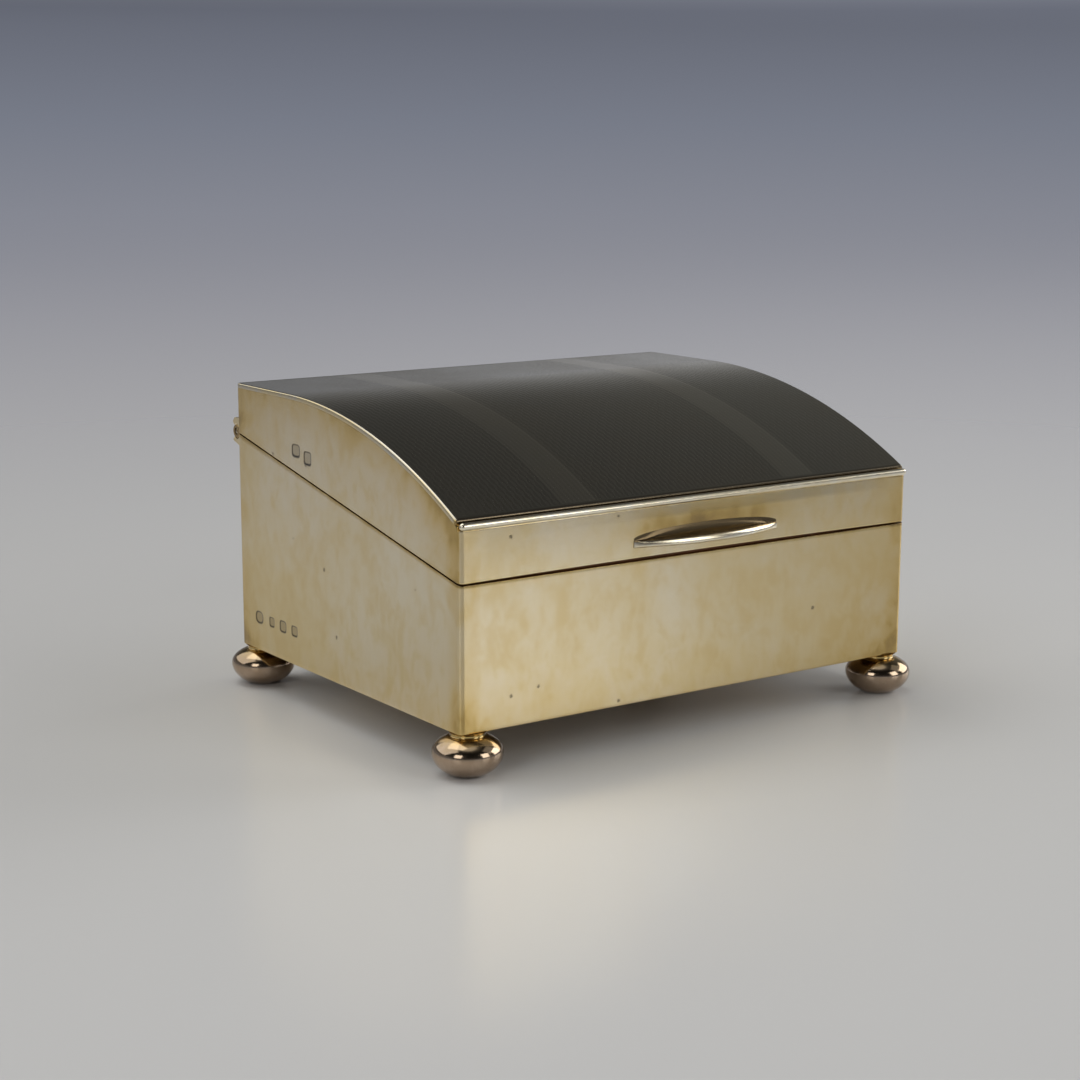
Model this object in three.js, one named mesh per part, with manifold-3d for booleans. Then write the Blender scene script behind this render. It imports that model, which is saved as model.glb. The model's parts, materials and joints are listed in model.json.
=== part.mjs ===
// A silver table cigarette box: a wood-lined body whose rim slopes up to the back, a hinged lid with a curved top,
// and four bun feet. Millimetres, +Z up, the front faces -Y. The origin is on the table, under the middle of the box.
import * as THREE from "three";
import { mergeVertices } from "three/addons/utils/BufferGeometryUtils.js";
import Module from "manifold-3d";

const wasm = await Module();
wasm.setup();

// Body and lid
const caseWidth = 114;
const caseDepth = 88.8;
const bodyFrontHeight = 28.7; // from the underside to the rim
const bodyBackHeight = 46.8;
const lidFrontHeight = 11.7; // from the rim to the lid top
const lidBackHeight = 11;
const lidFlatDepth = 23.4; // level stretch of the lid top in front of the hinge
const wallSheet = 0.9;
const topSheet = 1;
const baseSheet = 1;
const cornerRadius = 1.2; // upright corners
const partingGap = 0.3; // between the two rims
const solderGap = 0.05; // where one soldered sheet meets another

// Bead wire along the lid's front top edge
const beadRadius = 0.75;
const beadProud = 0.6; // in front of the front wall
const beadRise = 0.25; // above the lid top at the front
const beadEndInset = 0.2;

// Thumbpiece
const thumbpieceLength = 37.4;
const thumbpieceReach = 3.6;
const thumbpieceThickness = 1.7;
const thumbpieceScoop = 1.9; // how far its top climbs from the rim to the front wall
const thumbpieceHollow = 0.35; // bend of that climb: 0.5 is straight, 0 is deeply hollow
const thumbpieceRise = 3.5; // from the rim to its middle
const thumbpieceOffset = 2; // to the right of the middle of the box

// Bun feet
const footHeight = 8.6;
const footDiameter = 13.9;
const footEquatorHeight = 4.5;
const footFlatDiameter = 6; // what stands on the table
const footShoulderDiameter = 7.6; // where the dome ends, round the neck
const footNeckDiameter = 6.6;
const footNeckHeight = 1;
const footPegDiameter = 2;
const footSideInset = 3.6; // from the side walls' outer faces to the foot's axis
const footEndInset = 3; // from the front and back walls' outer faces

// Hinge
const barrelRadius = 1.5;
const pinRadius = 0.65;
const pinClearance = 0.1;
const knuckleCount = 7; // odd ones on the body, even ones on the lid
const knuckleGap = 0.15;
const hingeClearance = 0.15; // round the barrel
const hingeEndInset = 0.65; // from the side walls' outer faces
const bearerHeight = 3; // from the axis to a bearer's far edge
const bearerRoot = 1.1; // from the axis to a bearer's near edge, on the wall
const bearerReach = 2.6; // from the axis to a bearer's stop edge
const lidBearerLip = 2.4; // width of the bearers' far edges
const bodyBearerLip = 0.5;
const lidOpening = 105; // degrees
const stopPlay = 1.5; // degrees left between the bearers when the lid is fully open

// Wooden lining and its divider
const liningThickness = 3;
const liningBottomThickness = 3;
const liningGap = 0.25; // to the silver walls
const liningJointGap = 0.1;
const liningLip = 1.5; // above the rim
const dividerThickness = 3;
const dividerDrop = 4; // below the rim
const dividerGrooveDepth = 1;
const dividerClearance = 0.15;

// Fineness of round surfaces: steps are half the chords of an arc, segments go once round
const lidCurveSteps = 20;
const cornerSteps = 2; // for the half corner at the end of a wall
const holeSteps = 10;
const barrelSteps = 12;
const bearerHollowSteps = 10;
const footSteps = 4;
const footSegments = 32;
const thumbpieceEdgeSteps = 3;
const thumbpieceSegments = 120;
const beadEndSteps = 4;
const beadSegments = 16;

// Places that follow from the sizes
const cutMargin = 2 * wallSheet; // how far a cutting solid runs past what it cuts
const halfWidth = caseWidth / 2;
const frontY = -caseDepth / 2;
const backY = caseDepth / 2;
const underside = footHeight;
const baseTop = underside + baseSheet;
const liningFloor = baseTop + liningBottomThickness;
const rimSlope = (bodyBackHeight - bodyFrontHeight) / caseDepth;
const rimHeight = (y) => underside + bodyFrontHeight + rimSlope * (y - frontY);

// The lid top is level at the back, then follows an arc that is tangent to the level and ends at the front edge.
const lidFrontTop = rimHeight(frontY) + lidFrontHeight;
const lidBackTop = rimHeight(backY) + lidBackHeight;
const curveStartY = backY - lidFlatDepth;
const curveRun = curveStartY - frontY;
const curveDrop = lidBackTop - lidFrontTop;
const curveRadius = (curveRun ** 2 + curveDrop ** 2) / (2 * curveDrop);
const curveCentreZ = lidBackTop - curveRadius;
const curveEndAngle = Math.acos(-(curveRun + cutMargin) / (curveRadius - topSheet - solderGap));

const beadY = frontY - beadProud + beadRadius;
const beadZ = lidFrontTop + beadRise - beadRadius;
const thumbpieceZ = rimHeight(frontY) + thumbpieceRise;
const footRadius = footDiameter / 2;

// The barrel lies behind the back walls, clear of their faces, and level with the gap between the rims.
const hingeSetback = barrelRadius + hingeClearance; // from the back faces to the axis
const hingeY = backY + hingeSetback;
const hingeZ = rimHeight(backY) + partingGap / 2;
const hingeLength = caseWidth - 2 * hingeEndInset;
const knuckleLength = (hingeLength - (knuckleCount - 1) * knuckleGap) / knuckleCount;
const stopAngle = THREE.MathUtils.degToRad((lidOpening + stopPlay) / 2);

const liningX = halfWidth - wallSheet - liningGap;
const liningY = caseDepth / 2 - wallSheet - liningGap;
const liningInnerY = liningY - liningThickness;

// The case is set so that the whole box, thumbpiece and feet included, is centred on the origin.
const footOverhang = footRadius - footEndInset;
const frontReach = Math.max(thumbpieceReach, footOverhang, beadProud);
const backReach = Math.max(hingeSetback + barrelRadius, footOverhang);
const caseShift = (frontReach - backReach) / 2;

// A closed geometry as a solid that can be joined and cut.
function solid(geometry) {
  geometry.deleteAttribute("normal");
  geometry.deleteAttribute("uv");
  const merged = mergeVertices(geometry);
  const vertProperties = merged.attributes.position.array;
  const triVerts = new Uint32Array(merged.index.array);
  return new wasm.Manifold(new wasm.Mesh({ numProp: 3, vertProperties, triVerts }));
}

const extrude = (outline, depth, curveSegments) =>
  new THREE.ExtrudeGeometry(outline, { depth, bevelEnabled: false, curveSegments });

// A plan outline (x, y) raised from one height to another.
const upright = (outline, bottom, top, steps = 1) =>
  solid(extrude(outline, top - bottom, steps).translate(0, 0, bottom));

// A side outline (y, z) carried along X, centred on the middle of the box.
function alongX(outline, length, steps = 1) {
  const sideways = new THREE.Matrix4().makeBasis(
    new THREE.Vector3(0, 1, 0),
    new THREE.Vector3(0, 0, 1),
    new THREE.Vector3(1, 0, 0),
  );
  return solid(extrude(outline, length, steps).applyMatrix4(sideways).translate(-length / 2, 0, 0));
}

// A box between two corners.
function block(low, high) {
  const size = new THREE.Vector3().subVectors(high, low);
  const middle = new THREE.Vector3().addVectors(low, high).multiplyScalar(0.5);
  return solid(new THREE.BoxGeometry(...size).translate(...middle));
}

function rectangle(low, high) {
  const corners = [low, [high[0], low[1]], high, [low[0], high[1]]];
  return new THREE.Shape(corners.map((corner) => new THREE.Vector2(...corner)));
}

// A straight-sided band from a level bottom up to a line that runs parallel to the rim.
function belowRim(bottom, aboveRim) {
  const low = frontY - cutMargin;
  const high = backY + cutMargin;
  const outline = new THREE.Shape();
  outline.moveTo(low, bottom);
  outline.lineTo(high, bottom);
  outline.lineTo(high, rimHeight(high) + aboveRim);
  outline.lineTo(low, rimHeight(low) + aboveRim);
  return alongX(outline, caseWidth + cutMargin);
}

// The lid's side outline between its rim and the underside of the top plate.
function lidSide() {
  const low = frontY - cutMargin;
  const high = backY + cutMargin;
  const ceiling = topSheet + solderGap;
  const outline = new THREE.Shape();
  outline.moveTo(low, rimHeight(low) + partingGap);
  outline.lineTo(high, rimHeight(high) + partingGap);
  outline.lineTo(high, lidBackTop - ceiling);
  outline.lineTo(curveStartY, lidBackTop - ceiling);
  outline.absarc(curveStartY, curveCentreZ, curveRadius - ceiling, Math.PI / 2, curveEndAngle, false);
  return alongX(outline, caseWidth + cutMargin, lidCurveSteps);
}

// The plan of one wall: mitred ends, with half of each rounded corner. The outer face lies at -distance in y.
function wallPlan(length, distance) {
  const end = length / 2;
  const corner = end - cornerRadius;
  const roundY = -distance + cornerRadius;
  const mitre = Math.PI / 4;
  const outline = new THREE.Shape();
  outline.moveTo(end - wallSheet, -distance + wallSheet);
  outline.lineTo(-end + wallSheet, -distance + wallSheet);
  outline.absarc(-corner, roundY, cornerRadius, -Math.PI + mitre, -Math.PI / 2, false);
  outline.absarc(corner, roundY, cornerRadius, -Math.PI / 2, -mitre, false);
  return outline;
}

// The plan of the whole case, with its rounded corners.
function casePlan() {
  const x = halfWidth - cornerRadius;
  const y = caseDepth / 2 - cornerRadius;
  const quarter = Math.PI / 2;
  const outline = new THREE.Shape();
  outline.absarc(x, -y, cornerRadius, -quarter, 0, false);
  outline.absarc(x, y, cornerRadius, 0, quarter, false);
  outline.absarc(-x, y, cornerRadius, quarter, 2 * quarter, false);
  outline.absarc(-x, -y, cornerRadius, 2 * quarter, 3 * quarter, false);
  return outline;
}

// The four walls as full-height uprights, still to be cut to the body's or the lid's side outline.
function wallUprights() {
  const top = lidBackTop + cutMargin;
  const across = upright(wallPlan(caseWidth, caseDepth / 2), underside, top, cornerSteps);
  const along = upright(wallPlan(caseDepth, caseWidth / 2), underside, top, cornerSteps);
  return {
    front: across,
    right: along.rotate([0, 0, 90]),
    back: across.rotate([0, 0, 180]),
    left: along.rotate([0, 0, -90]),
  };
}

// The step at the lid's front top edge that the bead lies in.
function beadRebate() {
  const rebateY = beadY + beadRadius + solderGap;
  const rebateZ = beadZ - beadRadius - solderGap;
  const outline = rectangle([frontY - cutMargin, rebateZ], [rebateY, lidBackTop + cutMargin]);
  return alongX(outline, caseWidth + cutMargin);
}

function bodyWalls() {
  const side = belowRim(underside, 0);
  const walls = wallUprights();
  return {
    body_front_wall: walls.front.intersect(side),
    body_right_wall: walls.right.intersect(side),
    body_back_wall: walls.back.intersect(side),
    body_left_wall: walls.left.intersect(side),
  };
}

function lidWalls() {
  const side = lidSide().subtract(beadRebate());
  const walls = wallUprights();
  return {
    lid_front_wall: walls.front.intersect(side),
    lid_right_wall: walls.right.intersect(side),
    lid_back_wall: walls.back.intersect(side),
    lid_left_wall: walls.left.intersect(side),
  };
}

// The curved top plate, trimmed to the plan of the case and stepped back behind the bead.
function lidTopPlate() {
  const high = backY + cutMargin;
  const inner = curveRadius - topSheet;
  const outline = new THREE.Shape();
  outline.moveTo(high, lidBackTop - topSheet);
  outline.lineTo(high, lidBackTop);
  outline.lineTo(curveStartY, lidBackTop);
  outline.absarc(curveStartY, curveCentreZ, curveRadius, Math.PI / 2, curveEndAngle, false);
  outline.absarc(curveStartY, curveCentreZ, inner, curveEndAngle, Math.PI / 2, true);
  const plan = upright(casePlan(), underside, lidBackTop + cutMargin, 2 * cornerSteps);
  return alongX(outline, caseWidth + cutMargin, lidCurveSteps).intersect(plan).subtract(beadRebate());
}

function lidBead() {
  const straight = caseWidth - 2 * beadEndInset - 2 * beadRadius;
  const wire = new THREE.CapsuleGeometry(beadRadius, straight, beadEndSteps, beadSegments);
  return solid(wire.rotateZ(Math.PI / 2).translate(0, beadY, beadZ));
}

// The thumbpiece is a slice of a round-edged disc: the part of it that stands out in front of the front wall. The top
// of the disc climbs from its rim to the wall in a shallow hollow.
function thumbpiece() {
  const half = thumbpieceLength / 2;
  const discRadius = (half ** 2 + thumbpieceReach ** 2) / (2 * thumbpieceReach);
  const edge = thumbpieceThickness / 2;
  const rimRadius = discRadius - edge;
  const wallRadius = discRadius - thumbpieceReach;
  const hollow = edge + thumbpieceHollow * thumbpieceScoop;
  const section = new THREE.Path();
  section.moveTo(0, -edge);
  section.lineTo(rimRadius, -edge);
  section.absarc(rimRadius, 0, edge, -Math.PI / 2, Math.PI / 2, false);
  section.quadraticCurveTo((rimRadius + wallRadius) / 2, hollow, wallRadius, edge + thumbpieceScoop);
  section.lineTo(0, edge + thumbpieceScoop);
  const disc = new THREE.LatheGeometry(section.getPoints(thumbpieceEdgeSteps), thumbpieceSegments);
  const discY = frontY - thumbpieceReach + discRadius;
  const placed = solid(disc.rotateX(Math.PI / 2).translate(thumbpieceOffset, discY, thumbpieceZ));
  const low = new THREE.Vector3(-caseWidth, frontY - 2 * thumbpieceReach, thumbpieceZ - thumbpieceThickness);
  const high = new THREE.Vector3(caseWidth, frontY, thumbpieceZ + thumbpieceThickness + thumbpieceScoop);
  return placed.intersect(block(low, high));
}

// A bun foot with its neck and its peg, turned about its own axis. Below and above its widest ring it follows two
// ellipses, which end at the flat on the table and at the shoulder round the neck.
function foot(x, y) {
  const neckBottom = footHeight - footNeckHeight;
  const neckRadius = footNeckDiameter / 2;
  const pegRadius = footPegDiameter / 2;
  const flatRadius = footFlatDiameter / 2;
  const flatAngle = Math.acos(flatRadius / footRadius);
  const shoulderAngle = Math.acos(footShoulderDiameter / footDiameter);
  const bellyHeight = footEquatorHeight / Math.sin(flatAngle);
  const domeHeight = (neckBottom - footEquatorHeight) / Math.sin(shoulderAngle);
  const profile = new THREE.Path();
  profile.moveTo(0, 0);
  profile.lineTo(flatRadius, 0);
  profile.absellipse(0, footEquatorHeight, footRadius, bellyHeight, -flatAngle, 0, false);
  profile.absellipse(0, footEquatorHeight, footRadius, domeHeight, 0, shoulderAngle, false);
  profile.lineTo(neckRadius, neckBottom);
  profile.lineTo(neckRadius, footHeight);
  profile.lineTo(pegRadius, footHeight);
  profile.lineTo(pegRadius, baseTop);
  profile.lineTo(0, baseTop);
  const turned = new THREE.LatheGeometry(profile.getPoints(footSteps), footSegments);
  return solid(turned.rotateX(Math.PI / 2).translate(x, y, 0));
}

const footX = halfWidth - footSideInset;
const footY = caseDepth / 2 - footEndInset;
const footPlaces = {
  foot_front_left: [-footX, -footY],
  foot_front_right: [footX, -footY],
  foot_back_left: [-footX, footY],
  foot_back_right: [footX, footY],
};

// The base plate lies between the walls, with a hole for each foot's peg.
function basePlate() {
  const x = halfWidth - wallSheet - solderGap;
  const y = caseDepth / 2 - wallSheet - solderGap;
  const outline = rectangle([-x, -y], [x, y]);
  const holeRadius = footPegDiameter / 2 + solderGap;
  for (const [holeX, holeY] of Object.values(footPlaces)) {
    outline.holes.push(new THREE.Path().absarc(holeX, holeY, holeRadius, 0, 2 * Math.PI, true));
  }
  return upright(outline, underside, baseTop, holeSteps);
}

// A tube about the hinge axis, from one end along X to the other.
function hingeTube(outer, bore, start, end) {
  const ring = new THREE.Shape().absarc(0, 0, outer, 0, 2 * Math.PI, false);
  if (bore > 0) {
    ring.holes.push(new THREE.Path().absarc(0, 0, bore, 0, 2 * Math.PI, true));
  }
  return solid(extrude(ring, end - start, barrelSteps).rotateY(Math.PI / 2).translate(start, hingeY, hingeZ));
}

function knuckles() {
  const made = { body: {}, lid: {} };
  for (let index = 0; index < knuckleCount; index += 1) {
    const start = -hingeLength / 2 + index * (knuckleLength + knuckleGap);
    const owner = index % 2 === 0 ? "body" : "lid";
    const name = `${owner}_knuckle_${Math.floor(index / 2) + 1}`;
    made[owner][name] = hingeTube(barrelRadius, pinRadius + pinClearance, start, start + knuckleLength);
  }
  return made;
}

const hingePin = () => hingeTube(pinRadius, 0, -hingeLength / 2, hingeLength / 2);

// A bearer strip on a back wall, hollowed for the barrel. Its slanting face is the stop of the open lid.
// up is 1 for the lid's bearer, above the axis, and -1 for the body's, below it.
function bearer(up, lip) {
  const rootAngle = Math.PI - Math.asin(bearerRoot / hingeSetback);
  const place = (y, z) => new THREE.Vector2(hingeY + y, hingeZ + up * z);
  const onRay = (radius, angle) => place(radius * Math.cos(angle), radius * Math.sin(angle));
  const hollow = [];
  for (let step = 0; step <= bearerHollowSteps; step += 1) {
    hollow.push(onRay(hingeSetback, stopAngle + ((rootAngle - stopAngle) * step) / bearerHollowSteps));
  }
  const onWall = [place(-hingeSetback, bearerRoot), place(-hingeSetback, bearerHeight)];
  const outside = [place(lip - hingeSetback, bearerHeight), onRay(bearerReach, stopAngle)];
  return alongX(new THREE.Shape([...hollow, ...onWall, ...outside]), hingeLength);
}

// An upright lining board from its plan, with its top edge parallel to the rim.
const liningBoard = (plan, aboveRim) =>
  upright(plan, liningFloor, lidBackTop).intersect(belowRim(liningFloor, aboveRim));

// The plan of the front board, with the divider's groove in its inner face.
function groovedBoardPlan() {
  const groove = dividerThickness / 2 + dividerClearance;
  const innerY = -liningInnerY;
  const grooveY = innerY - dividerGrooveDepth;
  const corners = [
    [-liningX, -liningY],
    [liningX, -liningY],
    [liningX, innerY],
    [groove, innerY],
    [groove, grooveY],
    [-groove, grooveY],
    [-groove, innerY],
    [-liningX, innerY],
  ];
  return new THREE.Shape(corners.map((corner) => new THREE.Vector2(...corner)));
}

function lining() {
  const grooved = groovedBoardPlan();
  const turned = new THREE.Shape(grooved.getPoints().map((point) => point.negate()));
  const sideY = liningInnerY - liningJointGap;
  const sideX = liningX - liningThickness;
  const dividerY = liningInnerY + dividerGrooveDepth - dividerClearance;
  const dividerX = dividerThickness / 2;
  const dividerPlan = rectangle([-dividerX, -dividerY], [dividerX, dividerY]);
  return {
    lining_bottom: upright(rectangle([-liningX, -liningY], [liningX, liningY]), baseTop, liningFloor),
    lining_front: liningBoard(grooved, liningLip),
    lining_back: liningBoard(turned, liningLip),
    lining_left: liningBoard(rectangle([-liningX, -sideY], [-sideX, sideY]), liningLip),
    lining_right: liningBoard(rectangle([sideX, -sideY], [liningX, sideY]), liningLip),
    divider: liningBoard(dividerPlan, -dividerDrop),
  };
}

// Finishes, one new material for each piece.
const finish = (color, roughness, metalness) => () =>
  new THREE.MeshStandardMaterial({ color, roughness, metalness, flatShading: true });
const tarnishedSilver = finish(0xc9b98c, 0.3, 1);
const engineTurnedSilver = finish(0x6a6a64, 0.4, 1);
const brightSilver = finish(0xe2d8bd, 0.18, 1);
const rosySilver = finish(0xb59a86, 0.2, 1);
const pinMetal = finish(0x8f8778, 0.35, 1);
const cedar = finish(0x9c6238, 0.7, 0);

const lid = new THREE.Group();
const body = new THREE.Group();
const cigaretteBox = new THREE.Group();
lid.position.set(0, hingeY, hingeZ); // the lid group turns about the hinge axis
cigaretteBox.position.y = caseShift;

// Names each solid, gives it its finish and puts it in its group, in that group's own frame.
function place(group, pieces, material) {
  for (const [name, shape] of Object.entries(pieces)) {
    const { vertProperties, triVerts } = shape.getMesh();
    const geometry = new THREE.BufferGeometry();
    geometry.setAttribute("position", new THREE.BufferAttribute(vertProperties, 3));
    geometry.setIndex(new THREE.BufferAttribute(triVerts, 1));
    const { x, y, z } = group.position;
    const mesh = new THREE.Mesh(geometry.translate(-x, -y, -z), material());
    mesh.name = name;
    group.add(mesh);
  }
}

const hingeKnuckles = knuckles();
const feet = Object.entries(footPlaces).map(([name, [x, y]]) => [name, foot(x, y)]);

place(body, bodyWalls(), tarnishedSilver);
place(body, { base_plate: basePlate() }, tarnishedSilver);
place(body, Object.fromEntries(feet), rosySilver);
place(body, lining(), cedar);
place(body, { body_hinge_bearer: bearer(-1, bodyBearerLip) }, tarnishedSilver);
place(body, hingeKnuckles.body, tarnishedSilver);
place(body, { hinge_pin: hingePin() }, pinMetal);

place(lid, lidWalls(), tarnishedSilver);
place(lid, { lid_top_plate: lidTopPlate() }, engineTurnedSilver);
place(lid, { lid_bead: lidBead(), thumbpiece: thumbpiece() }, brightSilver);
place(lid, { lid_hinge_bearer: bearer(1, lidBearerLip) }, tarnishedSilver);
place(lid, hingeKnuckles.lid, tarnishedSilver);

cigaretteBox.add(body, lid);
export default cigaretteBox;
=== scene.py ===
import json
import math

import bpy
import numpy as np
from bpy.props import FloatProperty, FloatVectorProperty, PointerProperty
from mathutils import Matrix, Vector


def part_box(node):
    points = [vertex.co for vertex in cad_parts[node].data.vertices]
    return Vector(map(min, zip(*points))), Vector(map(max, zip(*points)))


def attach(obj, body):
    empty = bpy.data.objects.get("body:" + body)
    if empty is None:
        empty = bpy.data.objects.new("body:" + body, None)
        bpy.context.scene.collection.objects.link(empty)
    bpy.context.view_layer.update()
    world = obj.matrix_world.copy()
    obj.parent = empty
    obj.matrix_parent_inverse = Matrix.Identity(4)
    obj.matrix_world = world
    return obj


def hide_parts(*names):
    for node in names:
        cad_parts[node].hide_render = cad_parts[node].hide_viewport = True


bl_info = {
    "name": "Silver Cigarette Box",
    "version": (1, 0, 0),
    "blender": (4, 5, 0),
    "location": "3D View > Sidebar > Cigarette Box",
    "description": "Dresses the packed solids of a silver cigarette box with fine surfaces and finishes",
    "category": "Object",
}

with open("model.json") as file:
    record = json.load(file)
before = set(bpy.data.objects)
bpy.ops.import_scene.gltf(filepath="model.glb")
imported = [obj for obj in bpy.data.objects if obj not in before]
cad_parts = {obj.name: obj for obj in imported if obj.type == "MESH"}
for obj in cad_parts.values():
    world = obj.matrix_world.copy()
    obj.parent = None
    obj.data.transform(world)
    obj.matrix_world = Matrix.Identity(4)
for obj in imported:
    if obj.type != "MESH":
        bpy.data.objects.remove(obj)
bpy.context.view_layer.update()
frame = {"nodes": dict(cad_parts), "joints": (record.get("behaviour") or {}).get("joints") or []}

MM = 0.001

# Sizes of the case, read from the frame
body_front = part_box("body_front_wall")
body_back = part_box("body_back_wall")
HALF_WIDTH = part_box("body_right_wall")[1].x
FRONT = body_front[0].y
BACK = body_back[1].y
UNDERSIDE = body_front[0].z
WALL_SHEET = body_front[1].y - FRONT
RIM_SLOPE = (body_back[1].z - body_front[1].z) / (BACK - body_front[1].y)


def rim_height(y):
    """Height of the body's rim, a straight line that climbs towards the back."""
    return body_back[1].z + RIM_SLOPE * (y - BACK)


PARTING_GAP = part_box("lid_front_wall")[0].z - rim_height(FRONT)


def node_points(node):
    """The corner points of a CAD node, one row of x, y and z for each."""
    mesh = frame["nodes"][node].data
    points = np.empty(3 * len(mesh.vertices), np.float32)
    mesh.vertices.foreach_get("co", points)
    return points.reshape(-1, 3).astype(float)


# The lid top: level at the back, then an arc that is tangent to the level
SAME_PLACE = 1e-6
plate_points = node_points("lid_top_plate")
LID_TOP = plate_points[:, 2].max()
LEVEL_START = plate_points[plate_points[:, 2] > LID_TOP - SAME_PLACE, 1].min()
PLATE_FRONT = plate_points[:, 1].min()
PLATE_SHEET = LID_TOP - plate_points[plate_points[:, 1] > BACK - SAME_PLACE, 2].min()
CURVE_RUN = LEVEL_START - PLATE_FRONT
CURVE_DROP = LID_TOP - plate_points[plate_points[:, 1] < PLATE_FRONT + SAME_PLACE, 2].max()
LID_RADIUS = (CURVE_RUN**2 + CURVE_DROP**2) / (2 * CURVE_DROP)
ARC_LENGTH = LID_RADIUS * math.asin(CURVE_RUN / LID_RADIUS)


def lid_height(y, depth=0.0):
    """Height of the surface at a depth under the lid top: level, then a smaller arc on the same centre."""
    run = np.minimum(y - LEVEL_START, 0)
    return LID_TOP - LID_RADIUS + np.sqrt((LID_RADIUS - depth) ** 2 - run**2)


# Sizes and colours that a user would change


def length(name, description, millimetres):
    """A length property whose default is given in millimetres."""
    return FloatProperty(
        name=name, description=description, default=millimetres * MM, min=0, precision=5, unit="LENGTH"
    )


def share(name, description, default):
    """A plain number between 0 and 1."""
    return FloatProperty(name=name, description=description, default=default, min=0, max=1, subtype="FACTOR")


def colour(name, description, red, green, blue):
    """A linear colour property."""
    default = (red, green, blue, 1)
    return FloatVectorProperty(
        name=name, description=description, default=default, size=4, min=0, max=1, subtype="COLOR"
    )


def watts(name, description, default):
    """The power of a lamp."""
    return FloatProperty(name=name, description=description, default=default, min=0, unit="POWER")


class WallSizes(bpy.types.PropertyGroup):
    """The silver sheet of the body and the lid."""

    corner_radius: length("Corner radius", "Rounding of the upright corners", 1.2)
    edge_radius: length("Edge radius", "Rounding of the sheet's lower edges", 0.2)
    rim_radius: length("Rim radius", "Rounding of the sheet's upper edges", 0.08)
    station: length("Station spacing", "Distance between points along the walls", 1.8)
    fine_station: length("Fine spacing", "Distance between points at the punched marks", 0.16)
    waviness: length("Waviness", "How far the planished faces wander", 0.02)
    punch_width: length("Punch width", "Width of the widest blank punched mark", 3.2)
    punch_height: length("Punch height", "Height of the tallest blank punched mark", 2.7)
    punch_depth: length("Punch depth", "Depth of a blank punched mark", 0.08)
    lid_lean: length("Lid lean", "How far the lid's front leans back at its top", 0.18)
    lid_hollow: length("Lid hollow", "How far the lid's front is rubbed away under the bead", 0.18)
    lid_bow: length("Lid bow", "How far the lid's front rim bows up in the middle", 0.34)


class LidTopSizes(bpy.types.PropertyGroup):
    """The engine-turned plate, the bead and the thumbpiece."""

    pitch: length("Pitch", "Distance between neighbouring cut lines", 1.1)
    wave: length("Wave length", "Length of one wave of a cut line", 2.8)
    swing: share("Swing", "How far a cut line swings, as a share of the pitch", 0.26)
    cut_depth: length("Cut depth", "Depth of the cut lines", 0.016)
    band_inner: length("Band start", "From the middle to the near side of a plain band", 24.2)
    band_outer: length("Band end", "From the middle to the far side of a plain band", 31.9)
    side_margin: length("Side margin", "Plain rim beside the turned field", 0.9)
    front_margin: length("Front margin", "Plain rim in front of the turned field", 1.3)
    back_margin: length("Back margin", "Plain rim behind the turned field", 1.3)
    edge_radius: length("Edge radius", "Rounding of the plate's upper edges", 0.4)
    thumb_rim: length("Thumbpiece rim", "Thickness of the thumbpiece's rim", 1.8)
    thumb_tip: share("Thumbpiece tip", "Thickness of its ends, as a share of its middle", 0.75)


class FootSizes(bpy.types.PropertyGroup):
    """The turned bun feet."""

    equator: length("Equator", "Height of the widest ring", 4.5)
    flat_radius: length("Flat radius", "What stands on the table", 3.0)
    shoulder_radius: length("Shoulder radius", "Where the dome ends, round the neck", 3.8)
    neck_radius: length("Neck radius", "Radius of the neck", 3.3)
    neck_height: length("Neck height", "Height of the neck", 1.0)
    solder: length("Solder fillet", "How far the solder spreads round the top of the neck", 0.45)


class HingeSizes(bpy.types.PropertyGroup):
    """The barrel behind the back wall, and the strips that carry it."""

    chamfer: length("Chamfer", "Chamfer at the ends of a knuckle", 0.12)
    bore: length("Bore", "Radius of the hole for the pin", 0.75)
    root: length("Bearer root", "From the axis to a bearer's near edge, on the wall", 1.1)
    reach: length("Bearer reach", "From the axis to a bearer's stop edge", 2.6)
    lid_lip: length("Lid bearer lip", "Width of the lid bearer's far edge", 2.4)
    body_lip: length("Body bearer lip", "Width of the body bearer's far edge", 0.5)
    stop_angle: FloatProperty(
        name="Stop angle",
        description="Slant of the faces that stop the open lid",
        default=math.radians(53.25),
        subtype="ANGLE",
    )


class LiningSizes(bpy.types.PropertyGroup):
    """The cedar boards."""

    edge_radius: length("Edge radius", "Rounding of the boards' edges", 0.35)
    groove: length("Groove", "Half the width of the divider's groove", 1.65)
    groove_depth: length("Groove depth", "Depth of the divider's groove", 1.0)


class FinishColours(bpy.types.PropertyGroup):
    """Colours of the metal and the wood."""

    clean: colour("Clean silver", "The least tarnished silver", 0.82, 0.735, 0.56)
    warm: colour("Warm tarnish", "The first, golden tarnish", 0.79, 0.65, 0.38)
    amber: colour("Amber tarnish", "The older tarnish in corners", 0.66, 0.47, 0.17)
    # also carries the painted shade along the rims by the parting gap and under the box
    brown: colour("Brown tarnish", "The oldest tarnish, along seams", 0.36, 0.25, 0.11)
    # also used as painted shade along the lid plate's front edge
    hollow: colour("Hollow tarnish", "What is left in the thumbpiece's hollow", 0.15, 0.11, 0.06)
    dirt: colour("Dirt", "What fills pits and punched marks", 0.09, 0.07, 0.05)
    turned: colour("Turned silver", "The engine-turned field", 0.5, 0.48, 0.42)
    turned_band: colour("Turned band", "The two plain bands", 0.62, 0.59, 0.51)
    bright: colour("Bright silver", "Silver rubbed by handling", 0.9, 0.85, 0.72)
    rose: colour("Rosy silver", "The feet", 0.5, 0.39, 0.3)
    rose_dark: colour("Dark rose", "Older tarnish on the feet", 0.25, 0.17, 0.1)
    wire: colour("Pin wire", "The hinge pin", 0.42, 0.38, 0.3)
    cedar_light: colour("Light cedar", "Spring wood", 0.42, 0.2, 0.09)
    cedar_dark: colour("Dark cedar", "Late wood", 0.22, 0.085, 0.035)


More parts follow.
